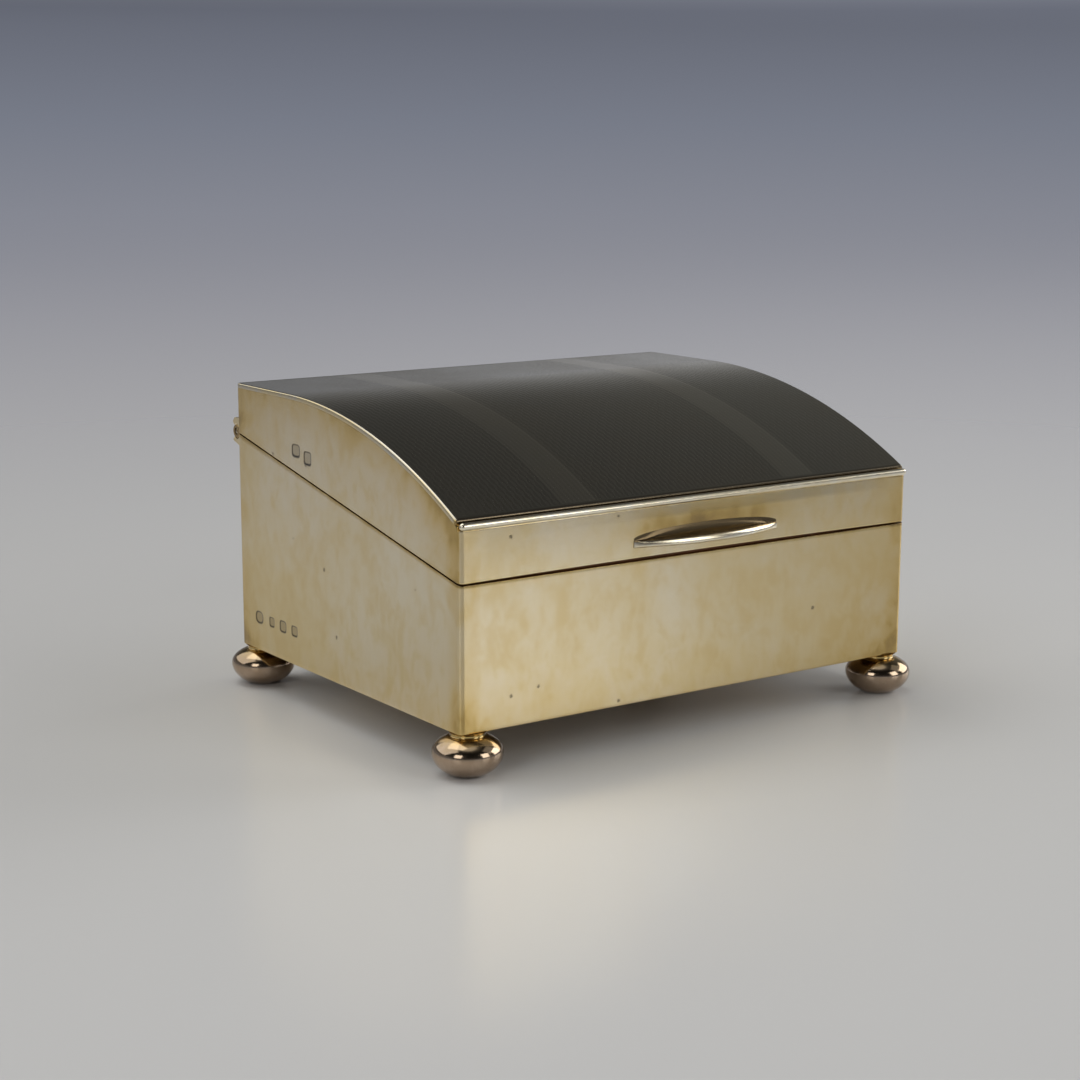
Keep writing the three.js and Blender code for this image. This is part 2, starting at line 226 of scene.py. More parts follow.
class StudioSettings(bpy.types.PropertyGroup):
    """Floor, light and camera."""

    floor: colour("Floor", "The pale table", 0.85, 0.843, 0.823)
    left_lamp: watts("Left lamp", "Power of the left softbox", 1.4)
    right_lamp: watts("Right lamp", "Power of the right softbox", 2)
    left_panel: watts("Left panel", "Power of the left panel", 10)
    right_panel: watts("Right panel", "Power of the right panel", 8)
    right_fill: watts("Right fill", "Power of the dim panel above the right one", 0.7)
    top_panel: watts("Top panel", "Power of the top panel", 4)
    lens: FloatProperty(name="Lens", description="Focal length", default=70.26, unit="CAMERA")


class BoxSettings(bpy.types.PropertyGroup):
    """All settings of the box."""

    walls: PointerProperty(type=WallSizes)
    lid_top: PointerProperty(type=LidTopSizes)
    feet: PointerProperty(type=FootSizes)
    hinge: PointerProperty(type=HingeSizes)
    lining: PointerProperty(type=LiningSizes)
    colours: PointerProperty(type=FinishColours)
    studio: PointerProperty(type=StudioSettings)


def settings():
    """The settings of the current scene."""
    return bpy.context.scene.cigarette_box


# Surfaces

SHARP_ANGLE = math.radians(35)
BEVEL_ANGLE = math.radians(30)


def grid_quads(rows, columns, close_rows=False, close_columns=False):
    """Faces of a grid of points numbered row by row. A closed direction joins its last line to its first."""
    index = np.arange(rows * columns).reshape(rows, columns)
    if close_rows:
        index = np.vstack([index, index[:1]])
    if close_columns:
        index = np.hstack([index, index[:, :1]])
    corners = [index[:-1, :-1], index[:-1, 1:], index[1:, 1:], index[1:, :-1]]
    return np.stack(corners, axis=-1).reshape(-1, 4)


def end_caps(rows, columns):
    """The two end faces of a tube of rows of points, wound to agree with grid_quads."""
    return [np.arange(columns)[::-1], (rows - 1) * columns + np.arange(columns)]


def arc(centre, radii, start, end, steps):
    """Points on an ellipse between two angles in degrees: centre + (a cos t, b sin t)."""
    angle = np.radians(np.linspace(start, end, steps))
    return np.stack([centre[0] + radii[0] * np.cos(angle), centre[1] + radii[1] * np.sin(angle)], axis=-1)


def even_steps(start, end, spacing):
    """Evenly spread numbers from start to end, about the given spacing apart."""
    return np.linspace(start, end, max(2, round(abs(end - start) / spacing) + 1))


def turned(profile, segments):
    """A profile of (radius, height) turned once about Z: x = r cos a, y = r sin a, z = h."""
    angle = np.linspace(0, 2 * np.pi, segments, endpoint=False)
    radius, height = profile[:, :1], profile[:, 1:]
    return np.stack(np.broadcast_arrays(radius * np.cos(angle), radius * np.sin(angle), height), axis=-1)


def about_x(points):
    """Turns a shape made about Z so that its axis lies along X: (x, y, z) becomes (z, x, y)."""
    return points[..., [2, 0, 1]]


def carried(section, stations):
    """A side outline of (y, z) carried along X through the stations: one row of points for each station."""
    x = np.repeat(stations[:, None], len(section), axis=1)
    return np.stack([x, *np.broadcast_arrays(section[:, 0], section[:, 1], x)[:2]], axis=-1)


def smooth_step(low, high, value):
    """0 below low, 1 above high, and an S-shaped climb between them."""
    t = np.clip((value - low) / (high - low), 0, 1)
    return t * t * (3 - 2 * t)


def fade(distance, reach):
    """1 at no distance and less further away: e ^ (-distance / reach), with the reach in millimetres."""
    return np.exp(-distance / (reach * MM))


def hump(value, place, reach):
    """1 at a place and less on both sides: e ^ -((value - place) / reach)^2, with both in millimetres."""
    return np.exp(-(((value - place * MM) / (reach * MM)) ** 2))


def make_piece(name, points, quads, caps=(), values=None, flat=None):
    """A closed mesh from grid points and faces. A sixth of the sum of a . (b x c) over its triangles is its
    volume, and faces that enclose a negative one are turned round. values are numbers stored at the points,
    and flat says which of the quads are shaded flat."""
    points = points.reshape(-1, 3)
    fans = [np.stack([np.full(len(cap) - 2, cap[0]), cap[1:-1], cap[2:]], axis=-1) for cap in caps]
    triangles = np.concatenate([quads[:, [0, 1, 2]], quads[:, [0, 2, 3]], *fans])
    a, b, c = (points[triangles[:, corner]] for corner in range(3))
    volume = np.einsum("ij,ij->", a, np.cross(b, c)) / 6
    step = 1 if volume > 0 else -1
    faces = quads[:, ::step].tolist() + [cap[::step].tolist() for cap in caps]
    mesh = bpy.data.meshes.new(name)
    mesh.from_pydata(points.tolist(), [], faces)
    if mesh.validate(clean_customdata=False):
        raise RuntimeError(f"{name} has faulty faces")
    mesh.shade_smooth()
    mesh.set_sharp_from_angle(angle=SHARP_ANGLE)
    if flat is not None:
        smooth = np.concatenate([~flat, np.ones(len(caps), bool)])
        mesh.polygons.foreach_set("use_smooth", smooth)
    for label, numbers in (values or {}).items():
        layer = mesh.attributes.new(label, "FLOAT", "POINT")
        layer.data.foreach_set("value", numbers.astype(np.float32).ravel())
    piece = bpy.data.objects.new(name, mesh)
    bpy.context.scene.collection.objects.link(piece)
    return piece


def tube_piece(name, points, values=None):
    """A piece from rows of points that are each closed to a ring, with a face at each end of the tube."""
    rows, columns = points.shape[:2]
    quads = grid_quads(rows, columns, close_columns=True)
    return make_piece(name, points, quads, end_caps(rows, columns), values)


def ring_piece(name, points, values):
    """A piece from rows of points that are closed both ways, as on a tyre."""
    quads = grid_quads(*points.shape[:2], close_rows=True, close_columns=True)
    return make_piece(name, points, quads, values=values)


def round_edges(piece, radius, segments=3):
    """Rounds a piece's sharp edges with a live bevel."""
    bevel = piece.modifiers.new("Rounded edges", "BEVEL")
    bevel.width = radius
    bevel.segments = segments
    bevel.limit_method = "ANGLE"
    bevel.angle_limit = BEVEL_ANGLE
    bevel.harden_normals = True


def fit(piece, body, slot, nodes, finish=None):
    """Puts a piece on its body in place of the CAD nodes, with its slot's finish or a variant of it."""
    piece.data.materials.append(finish_material(finish or slot))
    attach(piece, body)
    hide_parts(*nodes)


# The walls of the body and the lid

CORNER_STEPS = 8
EDGE_STEPS = 5
LEFT = np.array([-1.0, 0.0])
WASH_LIMIT = 0.62  # the most tarnish away from the edges
# Each wave's weight, its millimetres per radian round the case and up it, and its start in radians
PLANISHING_WAVES = ((0.3, 9.1, 13.7, 0.0), (0.2, 5.7, -7.9, 1.3), (0.5, 17.3, -21.0, 2.1))


def case_plan(radius, spacing, fine_stretch, fine_spacing):
    """Once round the case: for each station, the centre that the corner rounding turns about and the
    outward direction. The point at an inset d from the outer face is centre + (radius - d) * outward. On
    the left wall the stations are closer together along the fine stretch of y."""
    x = HALF_WIDTH - radius
    y = BACK - radius
    across = even_steps(-x, x, spacing)[1:-1]
    along = even_steps(-y, y, spacing)[1:-1]
    fine = even_steps(*fine_stretch, fine_spacing)
    outside = (along < fine[0] - fine_spacing) | (along > fine[-1] + fine_spacing)
    left = np.sort(np.concatenate([along[outside], fine]))[::-1]
    quarter = np.radians(np.linspace(0, 90, CORNER_STEPS + 1))

    def side(xs, ys, angle):
        centres = np.stack(np.broadcast_arrays(xs, ys), axis=-1).astype(float)
        outward = np.broadcast_to([np.cos(angle), np.sin(angle)], centres.shape)
        return centres, outward

    def corner(corner_x, corner_y, start):
        outward = np.stack([np.cos(start + quarter), np.sin(start + quarter)], axis=-1)
        return np.broadcast_to([corner_x, corner_y], outward.shape), outward

    half_pi = np.pi / 2
    stretches = [
        side(across, -y, -half_pi),
        corner(x, -y, -half_pi),
        side(x, along, 0),
        corner(x, y, 0),
        side(across[::-1], y, half_pi),
        corner(-x, y, half_pi),
        side(-x, left, np.pi),
        corner(-x, -y, np.pi),
    ]
    centres, outward = zip(*stretches)
    return np.concatenate(centres), np.concatenate(outward)


def sheet_section(sheet, edge, rim, shares):
    """The upright section of a sheet with rounded edges, once round: the lower ones by edge and the upper
    ones by rim. It gives the depth behind the outer face, the share of the wall's height, and the lift
    above that share. shares are the outer face's rows, from 0 to 1."""
    turn = np.radians(np.linspace(0, 90, EDGE_STEPS))
    near, far = 1 - np.cos(turn), 1 - np.sin(turn)
    back = np.linspace(0.9, 0.1, 5)
    ones = np.ones(EDGE_STEPS)
    inset = [edge * far, 0 * shares, rim * near, sheet - rim * far, 0 * back + sheet, sheet - edge * near]
    rise = [0 * ones, shares, ones, ones, back, 0 * ones]
    fall = edge + rim
    lift = [edge * near, edge - fall * shares, -rim * far, -rim * near, edge - fall * back, edge * far]
    return np.concatenate(inset), np.concatenate(rise), np.concatenate(lift)


def planishing(x, y, z):
    """Slow waves left by planishing, between -1 and 1: the weighted sum of sines that cross the walls in
    different ways. They die out towards the corners."""
    around = 1.3 * x + 0.9 * y
    waves = 0
    for weight, along, up, start in PLANISHING_WAVES:
        waves = waves + weight * np.sin(around / (along * MM) + z / (up * MM) + start)
    return waves * smooth_step(0, 12 * MM, corner_distance(x, y))


def corner_distance(x, y):
    """How far a point on the walls is from the nearest upright corner."""
    return np.maximum(HALF_WIDTH - np.abs(x), 0) + np.maximum(BACK - np.abs(y), 0)


def punch_mask(y, z, places, width, height):
    """1 in a blank punched mark and 0 outside. Each mark is a superellipse |u|^n + |v|^n = 1 whose edge
    slopes over a short way. A place gives its y and z, its shares of the width and height, and the power n.
    """
    mask = np.zeros_like(y)
    for place_y, place_z, wide, tall, power in places:
        across = np.abs(y - place_y) / (wide * width / 2)
        up = np.abs(z - place_z) / (tall * height / 2)
        away = (across**power + up**power) ** (1 / power)
        mask = np.maximum(mask, 1 - smooth_step(0.75, 1.2, away))
    return mask


def wall_ring(bottom, top, shares, punches, press=None):
    """The four walls as one ring of sheet: the section of the sheet carried round the plan of the case,
    between the heights bottom(x, y) and top(x, y). The outer face wanders a little and is pressed in at the
    punched marks and by the depths press(x, y, share). Returns the points and the mask of the marks."""
    sizes = settings().walls
    marks = np.array(punches)
    stretch = marks[:, 0].min() - sizes.punch_width, marks[:, 0].max() + sizes.punch_width
    centres, outward = case_plan(sizes.corner_radius, sizes.station, stretch, sizes.fine_station)
    inset, rise, lift = sheet_section(WALL_SHEET, sizes.edge_radius, sizes.rim_radius, shares)
    outer = (1 - smooth_step(0, WALL_SHEET / 4, inset))[None, :]

    def lay(depth):
        plan = centres[:, None, :] + (sizes.corner_radius - depth)[..., None] * outward[:, None, :]
        x, y = plan[..., 0], plan[..., 1]
        return x, y, bottom(x, y) + (top(x, y) - bottom(x, y)) * rise + lift

    plain = np.broadcast_to(inset, (len(centres), len(inset)))
    x, y, z = lay(plain)
    on_left = smooth_step(0.9, 1.0, outward @ LEFT)[:, None]
    mask = punch_mask(y, z, punches, sizes.punch_width, sizes.punch_height) * outer * on_left
    wander = sizes.waviness * (0.5 + 0.5 * planishing(x, y, z))
    if press:
        wander = wander + press(x, y, rise)
    points = np.stack(lay(plain + wander * outer + sizes.punch_depth * mask), axis=-1)
    return points, mask


def body_grime_and_shade(points):
    """Darkening of the body: tarnish heaviest low down by the corners, a light wash along the bottom, a
    streak beside each upright corner, darker towards the right end, and painted shade along the rim by the
    parting gap.
    """
    x, y, z = np.moveaxis(points, -1, 0)
    corner = corner_distance(x, y)
    low = z - UNDERSIDE
    rim = rim_height(y) - z
    by_feet = 0.42 * fade(corner + low, 6) + 0.26 * fade(corner + low, 16)
    low_wash = 0.14 * fade(low, 9)
    # painted shade along the rim, by the parting gap
    edges = 0.15 * fade(rim, 0.7) + 0.8 * fade(np.maximum(rim, 0), 0.1)
    streak = 0.25 * hump(corner, 2, 1.3)
    right_end = (0.24 + 0.2 * fade(low, 6)) * fade(corner, 12) * (x > 0)
    return np.clip(np.minimum(by_feet + low_wash + streak + right_end, WASH_LIMIT) + edges, 0, 1)


def lid_grime_and_shade(points):
    """Darkening of the lid's walls: tarnish under the top plate and at the corners, a streak beside each
    upright corner, darker towards the right end, painted shade along the rim by the parting gap, and a stain
    above the thumbpiece."""
    x, y, z = np.moveaxis(points, -1, 0)
    low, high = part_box("thumbpiece")
    corner = corner_distance(x, y)
    under_top = lid_height(y, PLATE_SHEET) - z
    on_side = smooth_step(0, 0.05 * MM, y - FRONT - WALL_SHEET / 2)
    gable = (0.45 * fade(under_top, 6) + 0.3 * fade(corner, 8)) * on_side
    streak = 0.35 * hump(corner, 2, 1.2)
    right_end = 0.3 * fade(corner, 12) * (x > 0)
    across = (x - (low.x + high.x) / 2) / (0.5 * (high.x - low.x))
    above = (z - high.z) / np.where(z > high.z, 3.8 * MM, 2 * MM)
    stain = 0.72 * np.exp(-(across**4) - above**2) * (y < FRONT + WALL_SHEET)
    over_rim = np.maximum(z - rim_height(y) - PARTING_GAP, 0)
    # painted shade along the lid's rim, by the parting gap
    edges = 0.7 * fade(over_rim, 0.15)
    return np.clip(np.minimum(gable + streak + right_end, WASH_LIMIT) + stain + edges, 0, 1)


def face_rows(*stretches):
    """The rows of a wall's outer face as shares of its height. A stretch is a start, an end and a count."""
    return np.concatenate([np.linspace(*stretch) for stretch in stretches])


class CIGARETTE_BOX_OT_body_walls(bpy.types.Operator):
    """Makes the four body walls as one ring of sheet, with four blank punched marks on the left wall"""

    bl_idname = "cigarette_box.body_walls"
    bl_label = "Body Walls"

    def execute(self, context):
        # For each mark: millimetres from the back, shares of the width and height, and the power
        shapes = [(8.5, 1.0, 0.95, 2.6), (14.2, 0.65, 0.75, 5), (19.2, 0.85, 0.9, 4), (24.3, 0.75, 0.8, 5)]
        height = UNDERSIDE + 7.4 * MM
        punches = [(BACK - back * MM, height, *shape) for back, *shape in shapes]
        shares = face_rows((0.02, 0.12, 6), (0.125, 0.225, 28), (0.25, 0.98, 20))
        points, mask = wall_ring(lambda x, y: UNDERSIDE + 0 * y, lambda x, y: rim_height(y), shares, punches)
        piece = ring_piece("body_walls", points, {"grime_and_shade": body_grime_and_shade(points), "punch": mask})
        nodes = ["body_front_wall", "body_right_wall", "body_back_wall", "body_left_wall"]
        fit(piece, "body", "tarnished_silver", nodes)
        return {"FINISHED"}


class CIGARETTE_BOX_OT_lid_walls(bpy.types.Operator):
    """Makes the four lid walls as one ring of sheet, with two blank punched marks on the left gable"""

    bl_idname = "cigarette_box.lid_walls"
    bl_label = "Lid Walls"

    def execute(self, context):
        sizes = settings().walls
        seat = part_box("lid_front_wall")[1].z

        def lid_rim(x, y):
            bow = sizes.lid_bow * (1 - (x / HALF_WIDTH) ** 2) * (y < 0)
            return rim_height(y) + PARTING_GAP + bow

        def lid_wall_top(x, y):
            under_plate = lid_height(y, PLATE_SHEET - 2 * sizes.rim_radius)
            return seat + (under_plate - seat) * smooth_step(-0.1 * MM, 0.1 * MM, y - PLATE_FRONT)

        def rubbed_front(x, y, rise):
            """The front leans back towards its top and is rubbed hollow under the right half of the bead."""
            on_front = 1 - smooth_step(0, 0.4 * MM, y - FRONT)
            inside = smooth_step(0, 8 * MM, HALF_WIDTH - np.abs(x))
            hollow_start = 0.79
            climb = np.maximum(rise - hollow_start, 0) / (1 - hollow_start)
            hollow = sizes.lid_hollow * hump(x, 15, 27) * climb
            return on_front * inside * (sizes.lid_lean * rise**2 + hollow)

        shapes = [(26.5, 1.0, 0.95, 4), (31.4, 0.9, 1.0, 5)]
        marks = [(BACK - back * MM, *shape) for back, *shape in shapes]
        punches = [(y, rim_height(y) + PARTING_GAP + 4.6 * MM, *shape) for y, *shape in marks]
        shares = face_rows((0.02, 0.18, 6), (0.19, 0.45, 28), (0.48, 0.98, 14))
        points, mask = wall_ring(lid_rim, lid_wall_top, shares, punches, rubbed_front)
        piece = ring_piece("lid_walls", points, {"grime_and_shade": lid_grime_and_shade(points), "punch": mask})
        nodes = ["lid_front_wall", "lid_right_wall", "lid_back_wall", "lid_left_wall"]
        fit(piece, "lid", "tarnished_silver", nodes)
        return {"FINISHED"}


# The lid top

WAVE_ROWS = 8
BAND_CUT = 0.4  # depth of the lines in the bands, as a share of the other lines'
BORDER_STEP = 0.08 * MM  # from the turned field to the line cut round it
BEAD_SEGMENTS = 32
BEAD_STEP = 1.5 * MM
BEAD_END_ROWS = 9
THUMB_SECTIONS = 97
THUMB_RIM_STEPS = 17
THUMB_HOLLOW_STEPS = 15


def lid_curve(along):
    """The lid top's side outline by the distance along it from the front: y and z, and the outward normal."""
    angle = np.maximum(ARC_LENGTH - along, 0) / LID_RADIUS
    y = LEVEL_START - LID_RADIUS * np.sin(angle) + np.maximum(along - ARC_LENGTH, 0)
    z = LID_TOP - LID_RADIUS * (1 - np.cos(angle))
    return y, z, -np.sin(angle), np.cos(angle)


def rounded_half_width(y, radius):
    """Half the width of the case at y, with its corners rounded in plan."""
    past = np.maximum(np.abs(y) - (BACK - radius), 0)
    return HALF_WIDTH - radius + np.sqrt(np.maximum(radius**2 - past**2, 0))


def turned_columns(sizes):
    """The columns of the turned field from left to right. Every other column is a cut line, which swings to
    and fro, and those between are the crests, which stay straight. In the two bands the lines are straight
    and shallow. Returns the columns' places, swings, depths and the mask of the bands."""
    lines = math.floor((HALF_WIDTH - sizes.side_margin) / sizes.pitch + SAME_PLACE)
    number = np.arange(-2 * lines, 2 * lines + 1)
    place = number * sizes.pitch / 2
    is_line = number % 2 == 0
    sign = np.where((number // 2) % 2 == 0, 1, -1)
    away = np.abs(place)
    slack = sizes.pitch / 4
    in_band = (away > sizes.band_inner - slack) & (away < sizes.band_outer + slack)
    to_edge = np.minimum(np.abs(away - sizes.band_inner), np.abs(away - sizes.band_outer))
    at_edge = is_line & (to_edge < slack)
    at_side = np.abs(number) == 2 * lines
    swing = np.where(is_line & ~in_band & ~at_side, sign * sizes.swing * sizes.pitch, 0)
    depth = np.where(is_line, sizes.cut_depth, 0) * np.where(in_band & ~at_edge, BAND_CUT, 1)
    return place, swing, depth, in_band.astype(float)


def top_plate_grid(sizes):
    """The plate's section carried along the lid curve. On the top, a cut line i lies at
    x = i p + (-1)^i s sin(2 pi t), where p is the pitch, s the swing and t counts the waves along the
    curve, and it lies a cut's depth lower than the crests. The section goes on round the plate's edges and
    underside. Returns the points and the values stored on them, and says which points are in the field."""
    edge = sizes.edge_radius
    place, swing, depth, band = turned_columns(sizes)
    side = HALF_WIDTH - edge
    rim = np.array([(place[-1] + side) / 2])
    upper = arc((side, -edge), (edge, edge), 90, 0, EDGE_STEPS)
    lower = np.array([(HALF_WIDTH, -PLATE_SHEET)])
    right = np.concatenate([upper, lower])
    left = right[::-1] * [-1, 1]
    under = np.linspace(0.8, -0.8, 5) * HALF_WIDTH
    around = [place, rim, right[:, 0], under, left[:, 0], -rim]
    plain = sum(len(stretch) for stretch in around[1:])
    column_x = np.concatenate(around)
    column_swing = np.concatenate([swing, np.zeros(plain)])
    column_depth = np.concatenate([depth, np.zeros(plain)])
    height = np.concatenate([0 * place, 0 * rim, right[:, 1], 0 * under - PLATE_SHEET, left[:, 1], 0 * rim])

    total = ARC_LENGTH + BACK - LEVEL_START
    start, end = sizes.front_margin, total - sizes.back_margin
    waves = round((end - start) / sizes.wave)
    field = np.linspace(start, end, waves * WAVE_ROWS + 1)
    rounding = edge * (1 - np.cos(np.radians(np.linspace(0, 90, EDGE_STEPS))))
    front = np.concatenate([rounding, [start - 2 * BORDER_STEP, start - BORDER_STEP]])
    plain_back = np.linspace(end + 0.35 * MM, total - edge, 4)[:-1]
    back = np.concatenate([[end + BORDER_STEP, end + 2 * BORDER_STEP], plain_back])
    along = np.concatenate([front, field, back, total - rounding[::-1]])

    in_field = ((along >= start) & (along <= end)).astype(float)
    border = np.isin(along, [start - BORDER_STEP, end + BORDER_STEP]) * sizes.cut_depth
    to_end = np.minimum(np.minimum(along, total - along), edge)
    end_drop = edge - np.sqrt(edge**2 - (edge - to_end) ** 2)
    on_top = smooth_step(-PLATE_SHEET, -edge, height)
    phase = 2 * np.pi * waves * (along - start) / (end - start)
    y, z, normal_y, normal_z = (row[:, None] for row in lid_curve(along))
    x = column_x + column_swing * (in_field * np.sin(phase))[:, None]
    x = x * rounded_half_width(y, settings().walls.corner_radius) / HALF_WIDTH
    turned_mask = np.concatenate([np.ones(len(place)), np.zeros(plain)])
    cut = column_depth * in_field[:, None] + turned_mask * border[:, None]
    rise = height - cut - end_drop[:, None] * on_top
    points = np.stack([x, y + normal_y * rise, z + normal_z * rise], axis=-1)

    field_mask = turned_mask * in_field[:, None]
    flat_top = (height > -0.2 * edge) * smooth_step(0.2 * MM, 0.5 * MM, total - along)[:, None]
    values = {
        "field": flat_top,
        "band": np.concatenate([band, np.zeros(plain)]) * in_field[:, None],
        # painted shade over the plate's rounded front edge and the gap above the bead
        "grime_and_shade": 0.95 * hump(along, 0, 0.6)[:, None] + 0 * column_x,
    }
    return points, values, field_mask > 0.5


class CIGARETTE_BOX_OT_lid_top(bpy.types.Operator):
    """Makes the curved top plate with its engine-turned lines and two plain bands"""

    bl_idname = "cigarette_box.lid_top"
    bl_label = "Engine-turned Top"

    def execute(self, context):
        points, values, field = top_plate_grid(settings().lid_top)
        rows, columns = points.shape[:2]
        quads = grid_quads(rows, columns, close_columns=True)
        flat = field.ravel()[quads].all(axis=1)
        piece = make_piece("lid_top_plate_turned", points, quads, end_caps(rows, columns), values, flat)
        fit(piece, "lid", "engine_turned_silver", ["lid_top_plate"])
        return {"FINISHED"}


class CIGARETTE_BOX_OT_bead(bpy.types.Operator):
    """Makes the half-round wire along the lid's front top edge"""

    bl_idname = "cigarette_box.bead"
    bl_label = "Bead Wire"

    def execute(self, context):
        low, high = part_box("lid_bead")
        radius = (high.z - low.z) / 2
        reach = high.x - radius
        right = arc((reach, 0), (radius, radius), 90, 2, BEAD_END_ROWS)[:, ::-1]
        straight = even_steps(-reach, reach, BEAD_STEP)[1:-1]
        left = right[::-1] * [1, -1]
        profile = np.concatenate([left, np.stack([0 * straight + radius, straight], axis=-1), right])
        middle = [0, (low.y + high.y) / 2, (low.z + high.z) / 2]
        piece = tube_piece("lid_bead_wire", about_x(turned(profile, BEAD_SEGMENTS)) + middle)
        fit(piece, "lid", "bright_silver", ["lid_bead"])
        return {"FINISHED"}


class CIGARETTE_BOX_OT_thumbpiece(bpy.types.Operator):
    """Makes the crescent thumbpiece with its dished top and rounded rim"""

    bl_idname = "cigarette_box.thumbpiece"
    bl_label = "Thumbpiece"

    def execute(self, context):
        points, grime_and_shade = self.crescent(settings().lid_top)
        piece = tube_piece("thumbpiece_crescent", points, {"grime_and_shade": grime_and_shade})
        fit(piece, "lid", "bright_silver", ["thumbpiece"])
        return {"FINISHED"}

    def crescent(self, sizes):
        """Sections that fan out from the middle of a large disc, whose edge is the rim. Each one runs from
        the wall along the level underside, round the rim, which is two quarters of an ellipse with the
        taller one above, and back up a hollow arc that climbs the wall. The rim narrows and the hollow gets
        lower towards the tips. Returns the points and the grime: patina in the hollow, brown on the
        underside, and painted shade on the rim above and below a clean band along its front, a painted
        highlight."""
        low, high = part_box("thumbpiece")
        half = (high.x - low.x) / 2
        reach = high.y - low.y
        disc = (half**2 + reach**2) / (2 * reach)
        widest = math.acos((disc - reach) / disc)
        last = 0.985  # the sections stop just short of the two tips
        across = last * np.sin(np.radians(np.linspace(-90, 90, THUMB_SECTIONS)))[:, None]
        turn = widest * across
        wall = (disc - reach) / np.cos(turn)
        room = disc - wall
        rim_depth = np.minimum(sizes.thumb_rim / 2, 0.75 * room)
        rim = sizes.thumb_rim * (sizes.thumb_tip + (1 - sizes.thumb_tip) * np.sqrt(1 - across**2))
        low_share = 0.3
        below, above = low_share * rim, (1 - low_share) * rim
        climb = (high.z - low.z - sizes.thumb_rim) * (room / reach) ** 0.4

        angle = np.radians(np.linspace(-90, 90, THUMB_RIM_STEPS))[None, :]
        away = np.linspace(0, 1, THUMB_HOLLOW_STEPS)[None, 1:]
        under = np.array([[0, 0.5]])
        steepest = 0.97
        bend = (1 - np.sqrt(1 - (steepest * away) ** 2)) / (1 - math.sqrt(1 - steepest**2))
        distance = np.hstack(
            [
                wall + under * (room - rim_depth),
                disc - rim_depth * (1 - np.cos(angle)),
                disc - rim_depth - away * (room - rim_depth),
            ]
        )
        nose = np.where(angle < 0, below, above) * np.sin(angle)
        height = np.hstack([-below + 0 * under, nose, above + climb * bend])
        x = (low.x + high.x) / 2 + distance * np.sin(turn)
        y = high.y - reach + disc - distance * np.cos(turn)
        z = low.z + low_share * sizes.thumb_rim + height
        # the rim is browned above and below its front as painted shade, leaving a clean band there as a
        # painted highlight
        rim_shade_beside_highlight = smooth_step(25, 90, np.abs(np.degrees(angle)))
        grime_and_shade = 1.45 * np.hstack([1 + 0 * under, rim_shade_beside_highlight, 1 + 0 * away])
        return np.stack([x, y, z], axis=-1), np.broadcast_to(grime_and_shade, x.shape)


# Base and feet

FOOT_SEGMENTS = 72
BUN_STEPS = 14
NECK_STEPS = 6


class CIGARETTE_BOX_OT_base(bpy.types.Operator):
    """Makes the base plate between the walls"""

    bl_idname = "cigarette_box.base"
    bl_label = "Base Plate"

    def execute(self, context):
        low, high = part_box("base_plate")
        section = np.array([(low.y, low.z), (high.y, low.z), (high.y, high.z), (low.y, high.z)])
        points = carried(section, np.array([low.x, high.x]))
        # the base is browned all over as painted shade under the box, which darkens the table beneath it too
        grime_and_shade = np.full(points.shape[:2], 1.2)
        piece = tube_piece("base_sheet", points, {"grime_and_shade": grime_and_shade})
        round_edges(piece, settings().walls.edge_radius)
        fit(piece, "body", "tarnished_silver", ["base_plate"])
        return {"FINISHED"}


class CIGARETTE_BOX_OT_feet(bpy.types.Operator):
    """Turns the four bun feet"""

    bl_idname = "cigarette_box.feet"
    bl_label = "Bun Feet"

    def execute(self, context):
        for corner in ("front_left", "front_right", "back_left", "back_right"):
            low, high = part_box(f"foot_{corner}")
            profile = self.bun(settings().feet, (high.x - low.x) / 2)
            middle = [(low.x + high.x) / 2, (low.y + high.y) / 2, 0]
            points = turned(profile, FOOT_SEGMENTS) + middle
            by_neck = fade(UNDERSIDE - points[..., 2], 1.1)
            piece = tube_piece(f"bun_foot_{corner}", points, {"grime_and_shade": by_neck})
            fit(piece, "body", "foot_silver", [f"foot_{corner}"])
        return {"FINISHED"}

    def bun(self, sizes, radius):
        """Half the outline of a foot from the table up: an ellipse up to the widest ring, a flatter one
        above it, a neck, and a hollow curve of solder under the base."""
        neck_bottom = UNDERSIDE - sizes.neck_height
        flat_angle = math.degrees(math.acos(sizes.flat_radius / radius))
        shoulder_angle = math.degrees(math.acos(sizes.shoulder_radius / radius))
        belly_height = sizes.equator / math.sin(math.radians(flat_angle))
        dome_height = (neck_bottom - sizes.equator) / math.sin(math.radians(shoulder_angle))
        belly = arc((0, sizes.equator), (radius, belly_height), -flat_angle, 0, BUN_STEPS)
        dome = arc((0, sizes.equator), (radius, dome_height), 0, shoulder_angle, BUN_STEPS)[1:]
        throat = sizes.shoulder_radius - sizes.neck_radius
        throat_height = 0.6 * throat
        throat_centre = (sizes.shoulder_radius, neck_bottom + throat_height)
        inner = arc(throat_centre, (throat, throat_height), 265, 180, NECK_STEPS)
        solder_centre = (sizes.neck_radius + sizes.solder, UNDERSIDE - sizes.solder)
        solder = arc(solder_centre, (sizes.solder, sizes.solder), 180, 92, NECK_STEPS)
        return np.concatenate([belly, dome, inner, solder])


# Hinge

KNUCKLE_SEGMENTS = 40
KNUCKLE_STEP = 2 * MM
PIN_SEGMENTS = 24
PIN_END_ROWS = 7
BEARER_STEP = 4 * MM
BEARER_ROUNDING = 0.1 * MM
HOLLOW_STEPS = 16


